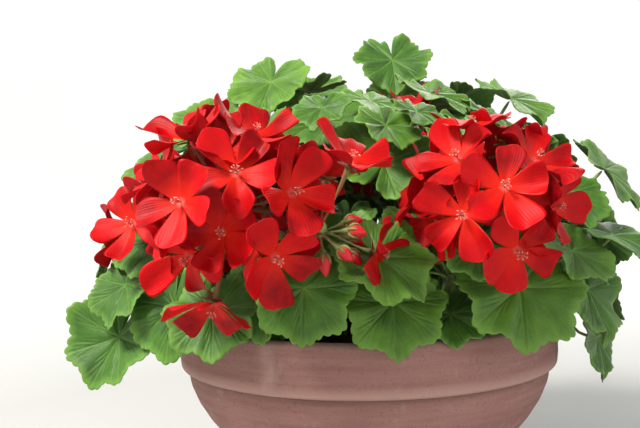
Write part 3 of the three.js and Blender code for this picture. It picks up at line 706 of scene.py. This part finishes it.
def petiole_part(start, blade, draw):
    """A bowed petiole from a point on the wood to the underside of a leaf."""
    length = np.linalg.norm(blade.middle - start)
    sway = draw.uniform(-0.1, 0.1, 3) * length
    low = start + 0.35 * (blade.middle - start) + (0, 0, 0.1 * length) + sway
    high = blade.middle - blade.axes[2] * length * 0.35
    path = curve_points([start, low, high, blade.middle - blade.axes[2] * PETIOLE_END], PETIOLE_STEPS)
    widths = np.linspace(*PETIOLE_RADII, PETIOLE_STEPS)
    return tube(path, widths, 7, 1, reach=0.5, tone=draw.random())


FILL_TRIES = 5000
FILL_MOST = 110
FOLIAGE_MIDDLE = np.array([0.0, 0.0, 0.155])
FOLIAGE_REACH = np.array([0.2, 0.19, 0.2])
CROWN_REACH = 0.075  # how far from the pot's axis a filling leaf's petiole may start
MOST_TOUCH = 0.04
FRONT_EDGE = -0.125  # in front of this, no filling leaf hangs lower than the next number
FRONT_LOWEST = 0.19
PETIOLE_STEPS = 14
PETIOLE_RADII = (0.0015, 0.0011)
PETIOLE_END = 0.0006  # how far under a leaf's upper face its petiole ends
WOOD_CLEAR = 0.012  # how far above the soil a petiole may start
PROBE_RINGS = (0.3, 0.6, 0.85, 1.05)  # where a leaf is tested for room, as parts of its reach


def fill_leaves(wood):
    """Adds small leaves where the dome of foliage has room, on petioles from the woody stems."""
    draw = np.random.default_rng(71)
    is_crown = np.hypot(wood[:, 0], wood[:, 1]) < CROWN_REACH
    starts = wood[is_crown & (wood[:, 2] > SOIL_LEVEL + WOOD_CLEAR)]
    leaves = []
    for _ in range(FILL_TRIES):
        turn, rise = draw.uniform(0, TAU), math.asin(draw.uniform(0.02, 0.95))
        way = np.array([math.cos(rise) * math.cos(turn), math.cos(rise) * math.sin(turn), math.sin(rise)])
        middle = FOLIAGE_MIDDLE + FOLIAGE_REACH * way * draw.uniform(0.5, 1.02)
        if middle[1] < FRONT_EDGE and middle[2] < FRONT_LOWEST:
            continue
        normal = way * (1, 1, 0.8) + (0, 0, 0.35) + draw.uniform(-0.3, 0.3, 3)
        blade = free_leaf(middle, normal, draw.uniform(0.022, 0.036), draw)
        x, y = np.cos(blade.angles) * blade.reaches, np.sin(blade.angles) * blade.reaches
        ring = np.column_stack([x, y, 0 * x])
        probe = blade.to_world(np.concatenate([ring * part for part in PROBE_RINGS]))
        if TAKEN.share(probe) > MOST_TOUCH:
            continue
        start = starts[np.argmin(np.linalg.norm(starts - middle, axis=1) + 0.5 * np.abs(starts[:, 2] - 0.16))]
        leaf = leaf_part(blade, 9000 + len(leaves), FILL_SAMPLES, FILL_RINGS)
        TAKEN.add(leaf.points)
        leaves.append([leaf, petiole_part(start, blade, draw)])
        if len(leaves) == FILL_MOST:
            break
    for number, parts in enumerate(leaves, 1):
        build_piece("inner_leaf_%d" % number, parts, [MATERIALS["leaf"], MATERIALS["stalk"]])


INNER_FLORETS = {"left": 12, "middle": 2, "right": 11, "rear": 5, "far_left": 4}
INNER_REACH = (0.031, 0.045)
INNER_RADIUS = (0.022, 0.0255)
INNER_TRIES = 160
LOWEST_WAY = -0.45  # no inner floret hangs more steeply than this below its hub
HUB_SIZE = 0.0092
PEDICEL_RADII = [0.0008] * 6 + [0.0009, 0.0013, 0.0019, 0.0019]


def hub_of(head):
    """The middle of the swollen top of a flower stalk."""
    points = Welded("flower_stalk_" + head).points
    return points[points[:, 2] > points[:, 2].max() - HUB_SIZE].mean(axis=0)


def free_floret(middle, normal, size, draw):
    """A floret's blade with five broad petals, with the same rule as the CAD florets."""
    pitch = TAU / PETALS
    turns = np.arange(FLORET_SPOKES) / 4
    place = turns - np.floor(turns)
    shift = np.where(place == 0.25, -0.14, 0) + np.where(place == 0.75, 0.14, 0)
    angles = -math.pi + (turns + shift) * pitch
    reaches = size * np.maximum(0.3, np.sin(math.pi * place) ** 0.22)
    cups = np.repeat(draw.uniform(0.2, 0.55, PETALS), 4)
    slopes = cups * 0.6
    bends = cups * 0.5 / size
    axes = axes_towards(normal, draw.uniform(-1, 1, 3))
    return Blade(middle, axes, angles, reaches, slopes, bends)


def fill_florets(head, blades, seed):
    """Adds inner florets in the gaps between a head's outer ones, on shorter pedicels."""
    draw = np.random.default_rng(seed)
    hub = hub_of(head)
    ways = [(blade.middle - hub) / np.linalg.norm(blade.middle - hub) for blade in blades]
    for number in range(INNER_FLORETS[head]):
        tries = draw.normal(size=(INNER_TRIES, 3))
        tries /= np.linalg.norm(tries, axis=1)[:, None]
        tries = tries[tries[:, 2] > LOWEST_WAY]
        nearest = (tries @ np.array(ways).T).max(axis=1)
        way = tries[np.argmin(nearest)]
        ways.append(way)
        middle = hub + way * draw.uniform(*INNER_REACH)
        normal = way + draw.uniform(-0.25, 0.25, 3) + (0, -0.1, 0.15)
        blade = free_floret(middle, normal, draw.uniform(*INNER_RADIUS), draw)
        controls = [hub, hub + way * 0.014, blade.middle - blade.axes[2] * 0.012, blade.middle]
        path = curve_points(controls, len(PEDICEL_RADII))
        pedicel = tube(path, PEDICEL_RADII, 8, 1, reach=0.8, tone=draw.random())
        parts = bloom_parts(blade, draw) + [pedicel]
        build_piece("%s_inner_floret_%d" % (head, number + 1), parts, FLORET_LOOKS)


# ---- Materials ----
class Nodes:
    """Short calls for building a material's nodes."""

    def __init__(self, name, roughness, specular=0.5):
        self.material = bpy.data.materials.new(name)
        self.material.use_nodes = True
        self.tree = self.material.node_tree
        self.shader = self.tree.nodes["Principled BSDF"]
        self.shader.inputs["Roughness"].default_value = roughness
        self.shader.inputs["Specular IOR Level"].default_value = specular

    def add(self, kind, **settings):
        node = self.tree.nodes.new("ShaderNode" + kind)
        for key, value in settings.items():
            setattr(node, key, value)
        return node

    def link(self, source, target):
        self.tree.links.new(source, target)

    def attribute(self, name):
        return self.add("Attribute", attribute_name=name).outputs["Fac"]

    def noise(self, scale, detail=4.0, roughness=0.55, stretch=(1, 1, 1)):
        place = self.add("TexCoord").outputs["Object"]
        move = self.add("Mapping")
        move.inputs["Scale"].default_value = stretch
        self.link(place, move.inputs["Vector"])
        noise = self.add("TexNoise")
        noise.inputs["Scale"].default_value = scale
        noise.inputs["Detail"].default_value = detail
        noise.inputs["Roughness"].default_value = roughness
        self.link(move.outputs["Vector"], noise.inputs["Vector"])
        return noise.outputs["Fac"]

    def range(self, value, low, high, to_low=0.0, to_high=1.0):
        node = self.add("MapRange")
        self.link(value, node.inputs["Value"])
        for key, number in zip(("From Min", "From Max", "To Min", "To Max"), (low, high, to_low, to_high)):
            node.inputs[key].default_value = number
        return node.outputs["Result"]

    def math(self, operation, first, second):
        node = self.add("Math", operation=operation)
        for socket, value in zip(node.inputs, (first, second)):
            if isinstance(value, (int, float)):
                socket.default_value = value
            else:
                self.link(value, socket)
        return node.outputs["Value"]

    def mix(self, factor, first, second):
        node = self.add("Mix", data_type="RGBA")
        self.link(factor, node.inputs["Factor"])
        for socket, colour in ((node.inputs[6], first), (node.inputs[7], second)):
            if isinstance(colour, tuple):
                socket.default_value = (*colour, 1)
            else:
                self.link(colour, socket)
        return node.outputs[2]

    def colour(self, value):
        self.link(value, self.shader.inputs["Base Color"])

    def roughness(self, value):
        self.link(value, self.shader.inputs["Roughness"])

    def bump(self, height, distance, strength=1.0):
        node = self.add("Bump")
        node.inputs["Strength"].default_value = strength
        node.inputs["Distance"].default_value = distance
        self.link(height, node.inputs["Height"])
        self.link(node.outputs["Normal"], self.shader.inputs["Normal"])


def leaf_material():
    """Matt green with a darker zone ring, pale veins, a paler margin and a dull underside."""
    look = Nodes("geranium_leaf", 0.5, 0.3)
    blotch = look.range(look.noise(55, 5), 0.3, 0.7)
    tone = look.attribute("tone")
    deep = look.mix(tone, (0.018, 0.07, 0.005), (0.045, 0.125, 0.008))
    fresh = look.mix(tone, (0.055, 0.165, 0.01), (0.115, 0.255, 0.018))
    green = look.mix(blotch, deep, fresh)
    fine = look.noise(900, 3)
    green = look.mix(look.range(fine, 0.35, 0.65, 0.0, 0.3), green, (0.02, 0.075, 0.006))
    ring = look.math("SINE", look.math("MULTIPLY", look.attribute("reach"), 4.6), 0.0)
    green = look.mix(look.range(ring, 0.2, 1.0, 0.0, 0.28), green, (0.02, 0.07, 0.006))
    veined = look.mix(look.math("MULTIPLY", look.attribute("vein"), 0.4), green, (0.16, 0.3, 0.05))
    margin = look.range(look.attribute("reach"), 0.82, 1.0, 0.0, 0.55)
    edged = look.mix(margin, veined, (0.16, 0.32, 0.04))
    backed = look.mix(look.math("MULTIPLY", look.attribute("side"), 0.6), edged, (0.12, 0.22, 0.06))
    look.colour(backed)
    look.roughness(look.range(fine, 0.3, 0.7, 0.42, 0.6))
    look.shader.inputs["Subsurface Weight"].default_value = 0.15
    look.shader.inputs["Subsurface Radius"].default_value = (0.4, 0.9, 0.1)
    look.shader.inputs["Subsurface Scale"].default_value = 0.002
    look.shader.inputs["Sheen Weight"].default_value = 0.08
    look.shader.inputs["Sheen Roughness"].default_value = 0.5
    look.bump(look.noise(1400, 3), 0.0003, 0.6)
    return look.material


def petal_material():
    """Scarlet, with a painted highlight, lighter and more orange, towards each petal's base, a white eye,
    fine dark veins, a duller back and a painted highlight at the petal tips.
    """
    look = Nodes("geranium_petal", 0.5, 0.13)
    reach = look.attribute("reach")
    tone = look.attribute("tone")
    body = look.mix(tone, (0.19, 0.0002, 0.002), (0.5, 0.001, 0.003))
    cloud = look.range(look.noise(120, 4), 0.35, 0.7, 0.0, 0.5)
    body = look.mix(cloud, body, (0.6, 0.002, 0.003))
    # Lighter, more orange towards the petal's base: a painted highlight.
    throat_highlight = look.range(reach, 0.1, 0.62, 0.65, 0.0)
    body = look.mix(throat_highlight, body, (0.8, 0.022, 0.006))
    white = look.range(reach, 0.02, 0.13, 0.6, 0.0)
    body = look.mix(white, body, (0.8, 0.2, 0.17))
    # Lighter red at the petal tips: a painted highlight.
    edge = look.range(reach, 0.95, 1.0, 0.0, 0.3)
    body = look.mix(edge, body, (0.75, 0.02, 0.02))
    lines = look.math("SINE", look.math("MULTIPLY", look.attribute("vein"), 75.0), 0.0)
    fine = look.range(lines, 0.2, 1.0, 0.0, 0.14)
    body = look.mix(fine, body, (0.2, 0.0, 0.003))
    back = look.math("MULTIPLY", look.attribute("side"), 0.4)
    look.colour(look.mix(back, body, (0.44, 0.01, 0.02)))
    look.shader.inputs["Subsurface Weight"].default_value = 0.08
    look.shader.inputs["Subsurface Radius"].default_value = (1.0, 0.05, 0.03)
    look.shader.inputs["Subsurface Scale"].default_value = 0.003
    look.bump(look.math("ADD", lines, look.noise(700, 2)), 0.0001, 0.35)
    return look.material


def plain_material(name, roughness, low, high, scale, bump, attribute=None, other=None):
    """A two-colour mottled material, led towards a third colour by a shader attribute."""
    look = Nodes(name, roughness)
    mottle = look.noise(scale, 5)
    body = look.mix(look.range(mottle, 0.3, 0.7), low, high)
    if attribute:
        body = look.mix(look.attribute(attribute), body, other)
    look.colour(body)
    look.roughness(look.range(mottle, 0.3, 0.7, roughness - 0.1, min(1, roughness + 0.1)))
    look.bump(look.noise(scale * 6, 3), bump, 0.6)
    return look.material


def terracotta_material():
    """Fired clay with turning lines, specks, mineral bloom, a pale rubbed step edge, a pale mineral streak, a
    painted highlight on the lip, a painted shadow under the rim band's step, and darker towards the bottom.
    """
    look = Nodes("terracotta", 0.85, 0.25)
    broad = look.range(look.noise(9, 6), 0.32, 0.68)
    body = look.mix(broad, (0.225, 0.105, 0.088), (0.31, 0.155, 0.132))
    lines = look.range(look.noise(16, 4, 0.6, (1, 1, 14)), 0.35, 0.65, 0.0, 0.5)
    body = look.mix(lines, body, (0.36, 0.2, 0.175))
    speck = look.range(look.noise(520, 2), 0.58, 0.7, 0.0, 0.6)
    body = look.mix(speck, body, (0.2, 0.09, 0.07))
    bloom = look.range(look.noise(34, 6, 0.7), 0.58, 0.78, 0.0, 0.4)
    body = look.mix(bloom, body, (0.52, 0.4, 0.35))
    # Paler at the rubbed step edge and the streak, with a painted highlight on the lip.
    pale_mark_and_lip_highlight_mask = look.range(look.attribute("vein"), 0.0, 1.0, 0.0, 0.6)
    body = look.mix(pale_mark_and_lip_highlight_mask, body, (0.5, 0.32, 0.27))
    # Darker with the painted shadow under the rim band's step, and towards the bottom.
    step_shadow_and_dark_foot = look.range(look.attribute("reach"), 0.0, 1.0, 0.0, 0.5)
    look.colour(look.mix(step_shadow_and_dark_foot, body, (0.13, 0.075, 0.06)))
    look.roughness(look.range(look.noise(80, 4), 0.3, 0.7, 0.74, 0.94))
    grain = look.math("ADD", look.noise(900, 3), look.noise(60, 4, 0.6, (1, 1, 9)))
    look.bump(grain, 0.0005, 0.7)
    return look.material


MATERIALS = {
    "leaf": leaf_material(),
    "petal": petal_material(),
    "terracotta": terracotta_material(),
    "calyx": plain_material(
        "calyx_and_pedicel", 0.55, (0.12, 0.16, 0.04), (0.2, 0.26, 0.07), 300, 0.0001,
        "tone", (0.26, 0.05, 0.03),
    ),
    "stamen": plain_material(
        "stamen", 0.5, (0.55, 0.02, 0.035), (0.7, 0.09, 0.09), 900, 0.00005, "reach", (0.62, 0.25, 0.17)
    ),
    "stalk": plain_material(
        "green_stalk", 0.5, (0.15, 0.26, 0.06), (0.26, 0.38, 0.1), 240, 0.0001, "tone", (0.22, 0.3, 0.09)
    ),
    "stem": plain_material(
        "woody_stem", 0.75, (0.1, 0.07, 0.035), (0.2, 0.14, 0.075), 160, 0.0006, "reach", (0.2, 0.29, 0.09)
    ),
    "bud": plain_material(
        "bud", 0.45, (0.16, 0.24, 0.05), (0.24, 0.3, 0.07), 260, 0.0001, "reach", (0.5, 0.001, 0.008)
    ),
    "soil": plain_material("potting_soil", 0.95, (0.018, 0.012, 0.008), (0.07, 0.045, 0.03), 420, 0.001),
    "grain": plain_material("pale_grain", 0.9, (0.35, 0.3, 0.24), (0.55, 0.5, 0.42), 500, 0.0003),
}
FLORET_LOOKS = [MATERIALS["petal"], MATERIALS["calyx"], MATERIALS["stamen"]]


# ---- Pot and soil ----
RIM_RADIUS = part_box("pot")[1].x
POT_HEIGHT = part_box("pot")[1].z
SOIL_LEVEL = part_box("soil")[1].z
POT_SIDES = 192
BASE_RADIUS = 0.078
BOWL_TOP_RADIUS = 0.152
BAND_BOTTOM = 0.110
FLOOR_TOP = 0.012
INNER_TOP_RADIUS = 0.1435
OUTER_BELLY = 0.072  # the heights that the upright ends of the two walls' curves pull towards
INNER_BELLY = 0.076
FOOT_SPREAD = 0.022  # how far and how high the bowl's slope at the base aims
FOOT_RISE = 0.028
POT_ROW = 0.0045  # the largest step between two rows of points
BAND_FACE = ((0.0012, 0.01), (0.0008, 0.02), (0.0002, 0.03))  # in from the rim, up from the band's foot
STREAK_TURN = math.radians(-119)  # where a pale mineral streak runs down the rim band


def bowl_side(base, top, belly, count):
    """A bowl's side as (radius, height) points: flaring from the base, then upright under the rim."""
    controls = [base, (base[0] + FOOT_SPREAD, base[1] + FOOT_RISE), (top[0], belly), top]
    return [tuple(point) for point in curve_points(controls, count)]


def rounded_corner(middle, radii, first, last, count):
    """Points of an elliptic arc between two angles in degrees."""
    turns = np.radians(np.linspace(first, last, count))
    return [(middle[0] + radii[0] * math.cos(t), middle[1] + radii[1] * math.sin(t)) for t in turns]


def pot_profile():
    """Base, bowl, step, rim band, rounded lip, and the inside down to the floor."""
    outline = [(0.0, 0.0), (BASE_RADIUS - 0.014, 0.0)]
    outline += rounded_corner((BASE_RADIUS - 0.0025, 0.0022), (0.0025, 0.0022), -90, -20, 4)
    outline += bowl_side((BASE_RADIUS, 0.003), (BOWL_TOP_RADIUS, BAND_BOTTOM - 0.0015), OUTER_BELLY, 26)
    outline += rounded_corner((BOWL_TOP_RADIUS + 0.0012, BAND_BOTTOM - 0.0014), (0.0012, 0.0014), 180, 90, 4)
    outline += rounded_corner((BOWL_TOP_RADIUS + 0.004, BAND_BOTTOM + 0.0024), (0.0023, 0.0024), -90, 0, 6)
    outline += [(RIM_RADIUS - back, BAND_BOTTOM + rise) for back, rise in BAND_FACE]
    outline += rounded_corner((RIM_RADIUS - 0.005, POT_HEIGHT - 0.0052), (0.005, 0.0052), 0, 180, 14)
    inner_base, inner_top = (BASE_RADIUS - 0.006, FLOOR_TOP + 0.001), (INNER_TOP_RADIUS, BAND_BOTTOM - 0.002)
    outline += bowl_side(inner_base, inner_top, INNER_BELLY, 16)[::-1]
    outline += [(BASE_RADIUS - 0.012, FLOOR_TOP), (0.0, FLOOR_TOP)]
    return np.array(outline)


def make_pot():
    """The bowl, turned from its profile, slightly uneven as a hand-finished one is."""
    profile = pot_profile()
    rows = [profile[0]]
    for first, second in zip(profile, profile[1:]):
        pieces = max(1, int(np.linalg.norm(second - first) / POT_ROW))
        rows += [first + (second - first) * (k + 1) / pieces for k in range(pieces)]
    rows = np.array(rows[1:-1])
    turns = np.arange(POT_SIDES) * TAU / POT_SIDES
    radii, heights = rows[:, :1], rows[:, 1:]
    uneven = 1 + 0.0012 * np.sin(2 * turns + 0.6) + 0.0006 * np.sin(5 * turns + heights * 40)
    grooves = 0.0002 * np.sin(heights * 950 + 0.4 * np.sin(3 * turns)) * (radii > BASE_RADIUS + 0.002)
    radius = radii * uneven + grooves
    points = np.stack([radius * np.cos(turns), radius * np.sin(turns), heights * np.ones(POT_SIDES)], -1)
    points = np.concatenate([points.reshape(-1, 3), [[0, 0, 0], [0, 0, FLOOR_TOP]]])
    count = len(rows) * POT_SIDES
    faces = grid_faces(len(rows), POT_SIDES, closed=True)
    faces += fan_faces(count, 0, POT_SIDES) + fan_faces(count + 1, count - POT_SIDES, POT_SIDES, flip=True)
    part = Part(points, faces, 0)
    # The pale marks hold the painted highlight on the lip, the dark marks the painted shadow under the step.
    part.values["vein"], part.values["reach"] = pot_marks_and_painted_light(part.points)
    pot = build_piece("terracotta_bowl", [part], [MATERIALS["terracotta"]], ["pot"])
    cut_drain_holes(pot)


def pot_marks_and_painted_light(points):
    """Where the clay is paler, rubbed at the step, with a pale streak and a painted highlight on the lip; and
    where it is darker, with a painted shadow under the rim band's step and towards the bottom; each from 0 to
    1.
    """
    height, away = points[:, 2], np.hypot(points[:, 0], points[:, 1])
    # A painted highlight: the rounded lip is painted paler.
    lip = np.exp(-(((height - POT_HEIGHT) / 0.003) ** 2)) * (away > 0.15)
    step = np.exp(-(((height - BAND_BOTTOM - 0.003) / 0.003) ** 2)) * (away > 0.154)
    turn = np.arctan2(points[:, 1], points[:, 0]) - STREAK_TURN
    off_streak = turn * RIM_RADIUS - 0.0015 * np.sin(height * 300)
    streak = np.exp(-((off_streak / 0.005) ** 2)) * (height > BAND_BOTTOM)
    # A painted shadow in the recess under the overhang of the rim band's step.
    under = np.exp(-(((height - BAND_BOTTOM + 0.002) / 0.0035) ** 2)) * (away > 0.13) * (away < 0.1545)
    pale_marks_and_lip_highlight = np.clip(0.8 * lip + step + 0.8 * streak, 0, 1)
    # The painted shadow under the step, and darker towards the bottom of the pot.
    step_shadow_and_dark_foot = np.clip(under + 0.6 * np.exp(-height / 0.008), 0, 1)
    return pale_marks_and_lip_highlight, step_shadow_and_dark_foot


DRAIN_HOLES = 3
DRAIN_RADIUS = 0.006
DRAIN_RING = 0.048


def cut_drain_holes(pot):
    """Cuts the round holes through the pot's floor."""
    for number in range(DRAIN_HOLES):
        angle = TAU * number / DRAIN_HOLES + math.pi / 6
        place = (DRAIN_RING * math.cos(angle), DRAIN_RING * math.sin(angle), 0.0)
        bpy.ops.mesh.primitive_cylinder_add(vertices=32, radius=DRAIN_RADIUS, depth=0.04, location=place)
        cutter = bpy.context.object
        hole = pot.modifiers.new("hole", "BOOLEAN")
        hole.object = cutter
        hole.solver = "EXACT"
        graph = bpy.context.evaluated_depsgraph_get()
        mesh = bpy.data.meshes.new_from_object(pot.evaluated_get(graph), depsgraph=graph)
        pot.modifiers.clear()
        pot.data = mesh
        bpy.data.objects.remove(cutter)


SOIL_INSET = 0.995  # the fine soil's edge, as a part of the CAD soil's
SOIL_RINGS = 60
SOIL_SIDES = 180
SOIL_ROWS = 8
SOIL_FALL = 0.0055  # how much lower the soil is at the wall than in the middle
SOIL_WAVES = ((0.0011, 60, 90), (0.0007, 150, 220), (0.0005, 380, 520), (0.0004, 700, 900))
CRUMBS = 900
CRUMB_SIZES = (0.0007, 0.0022)
GRAIN_EVERY = 17  # one crumb in so many is a pale grain


def soil_lumps(x, y, draw):
    """Crossed waves of four sizes: height, and the least and most waviness of each."""
    total = 0
    for size, least, most in SOIL_WAVES:
        a, b, c, d = draw.uniform((least, 0, least, 0), (most, 6, most, 6))
        total = total + size * np.sin(x * a + b) * np.sin(y * c + d)
    return total


def soil_part(low, high, draw):
    """The body of the soil: a lumpy dome over the space inside the bowl."""
    parts = np.linspace(0.012, 1, SOIL_RINGS)[:, None]
    turns = np.arange(SOIL_SIDES) * TAU / SOIL_SIDES
    x = parts * high.x * SOIL_INSET * np.cos(turns)
    y = parts * high.x * SOIL_INSET * np.sin(turns)
    top = np.stack([x, y, high.z - SOIL_FALL * parts**3 + soil_lumps(x, y, draw) - 0.001], -1).reshape(-1, 3)
    foot, brim = (BASE_RADIUS - 0.007, low.z), (INNER_TOP_RADIUS - 0.0015, BAND_BOTTOM - 0.002)
    side = turned(bowl_side(foot, brim, INNER_BELLY, SOIL_ROWS)[::-1], SOIL_SIDES)
    points = np.concatenate([top, side, [[0, 0, high.z - 0.001], [0, 0, low.z]]])
    count = len(points) - 2
    faces = grid_faces(SOIL_RINGS + SOIL_ROWS, SOIL_SIDES, closed=True, flip=True)
    faces += fan_faces(count, 0, SOIL_SIDES, flip=True)
    faces += fan_faces(count + 1, count - SOIL_SIDES, SOIL_SIDES)
    return Part(points, faces, 0)


def crumb_shape():
    """The points and faces of a rough ball."""
    shape = bmesh.new()
    bmesh.ops.create_icosphere(shape, subdivisions=1, radius=1)
    points = np.array([v.co[:] for v in shape.verts])
    faces = [tuple(v.index for v in f.verts) for f in shape.faces]
    shape.free()
    return points, faces


def make_soil():
    """Rough potting mix: a lumpy dome with loose crumbs and a few pale grains."""
    low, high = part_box("soil")
    draw = np.random.default_rng(5)
    edge = high.x * SOIL_INSET
    ball, faces = crumb_shape()
    parts = [soil_part(low, high, draw)]
    for number in range(CRUMBS):
        turn, away = draw.uniform(0, TAU), edge * math.sqrt(draw.uniform(0, 0.93))
        size = draw.uniform(*CRUMB_SIZES)
        top = high.z - SOIL_FALL * (away / edge) ** 3 - 0.0006
        place = np.array([away * math.cos(turn), away * math.sin(turn), top])
        crumb = ball * size * draw.uniform(0.6, 1.3, 3) + draw.uniform(-0.3, 0.3, ball.shape) * size
        parts.append(Part(crumb + place, faces, 1 if number % GRAIN_EVERY == 0 else 0))
    build_piece("potting_mix", parts, [MATERIALS["soil"], MATERIALS["grain"]], ["soil"])


# ---- Camera, light and floor ----
FOCAL_PIXELS = 889
PICTURE_WIDTH = 640
CAMERA_FROM_RIM = (-0.0382, -0.7612, 0.1122)
PITCH = math.radians(2.16)
ROLL = math.radians(-1.28)


def make_camera():
    """The camera, a little above the rim and a little left of the pot's middle."""
    data = bpy.data.cameras.new("camera")
    data.sensor_width = 36
    data.lens = FOCAL_PIXELS / PICTURE_WIDTH * data.sensor_width
    camera = bpy.data.objects.new("camera", data)
    bpy.context.scene.collection.objects.link(camera)
    forward = Vector((0, math.cos(PITCH), -math.sin(PITCH)))
    up = Vector((0, math.sin(PITCH), math.cos(PITCH)))
    right = Vector((1, 0, 0))
    turned_right = math.cos(ROLL) * right + math.sin(ROLL) * up
    turned_up = -math.sin(ROLL) * right + math.cos(ROLL) * up
    basis = Matrix((turned_right, turned_up, -forward)).transposed().to_4x4()
    place = Vector(CAMERA_FROM_RIM) + Vector((0, 0, POT_HEIGHT))
    camera.matrix_world = Matrix.Translation(place) @ basis
    bpy.context.scene.camera = camera


def make_light(name, place, target, size, power, colour):
    """A round soft light aimed at a point."""
    data = bpy.data.lights.new(name, "AREA")
    data.shape = "DISK"
    data.size = size
    data.energy = power
    data.color = colour
    light = bpy.data.objects.new(name, data)
    bpy.context.scene.collection.objects.link(light)
    light.location = place
    light.rotation_euler = (Vector(target) - Vector(place)).to_track_quat("-Z", "Y").to_euler()


FLOOR_RINGS = (0.5, 0.9, 1.4, 2.0, 2.4)
FLOOR_SIDES = 96
COVE = 1.6  # radius of the curve between floor and wall
WALL_TOP = 4.5


def make_stage():
    """A pale round floor that curves up into a far wall on every side; the wall glows faintly, painted light
    that keeps the backdrop pale.
    """
    rows = [(radius, 0.0) for radius in FLOOR_RINGS]
    for angle in np.linspace(0.1, math.pi / 2, 14):
        rows.append((FLOOR_RINGS[-1] + COVE * math.sin(angle), COVE - COVE * math.cos(angle)))
    rows.append((FLOOR_RINGS[-1] + COVE, WALL_TOP))
    points = np.concatenate([turned(rows, FLOOR_SIDES), [[0, 0, 0]]])
    faces = grid_faces(len(rows), FLOOR_SIDES, closed=True, flip=True)
    faces += fan_faces(len(points) - 1, 0, FLOOR_SIDES, flip=True)
    mesh = bpy.data.meshes.new("floor")
    mesh.from_pydata(points.tolist(), [], faces)
    mesh.polygons.foreach_set("use_smooth", [True] * len(faces))
    floor = bpy.data.objects.new("floor", mesh)
    bpy.context.scene.collection.objects.link(floor)
    share = np.append(np.repeat([min(1, (radius - 0.5) / 1.5) for radius, _ in rows], FLOOR_SIDES), 0)
    mesh.attributes.new("wall", "FLOAT", "POINT").data.foreach_set("value", share.astype(np.float32))
    look = Nodes("pale_floor", 0.9, 0.2)
    look.colour(look.mix(look.attribute("wall"), (0.48, 0.48, 0.47), (0.8, 0.8, 0.79)))
    # The wall glows though it is no lamp: painted light, rising from none on the floor.
    look.shader.inputs["Emission Color"].default_value = (1, 1, 0.99, 1)
    glow = look.range(look.attribute("wall"), 0.0, 1.0, 0.0, 0.32)
    look.link(glow, look.shader.inputs["Emission Strength"])
    mesh.materials.append(look.material)


def make_world():
    """A faint pale blue sky."""
    world = bpy.data.worlds.new("soft_sky")
    bpy.context.scene.world = world
    world.use_nodes = True
    background = world.node_tree.nodes["Background"]
    background.inputs["Color"].default_value = (0.86, 0.93, 1.0, 1)
    background.inputs["Strength"].default_value = 0.25


bpy.context.scene.view_settings.view_transform = "Standard"
make_camera()
make_stage()
make_world()
make_light("key", (-0.95, -0.8, 1.6), (0, -0.1, 0.22), 0.45, 58, (1.0, 0.96, 0.9))
make_light("fill", (1.6, -1.3, 0.9), (0, 0, 0.2), 1.6, 5, (0.9, 0.95, 1.0))
make_light("rim", (0.6, 1.7, 1.5), (0, 0, 0.25), 1.2, 22, (1.0, 0.98, 0.94))

make_pot()
make_soil()
florets, wood = {}, []
for number, name in enumerate(sorted(NODES)):
    if name.startswith("floret_"):
        head = name[len("floret_"):].rsplit("_", 1)[0]
        florets.setdefault(head, []).append(make_floret(name, 100 + number))
    elif name.startswith("leaf_"):
        make_leaf(name, 300 + number)
    elif name.startswith("plant_stem_"):
        wood.append(make_plant(name, 500 + 20 * number))
    elif name.startswith("flower_stalk_"):
        make_stalk(name)
make_buds("bud_cluster_middle", hub_of("middle"), np.random.default_rng(31))
for number, head in enumerate(sorted(florets)):
    fill_florets(head, florets[head], 700 + number)
fill_leaves(np.concatenate(wood))
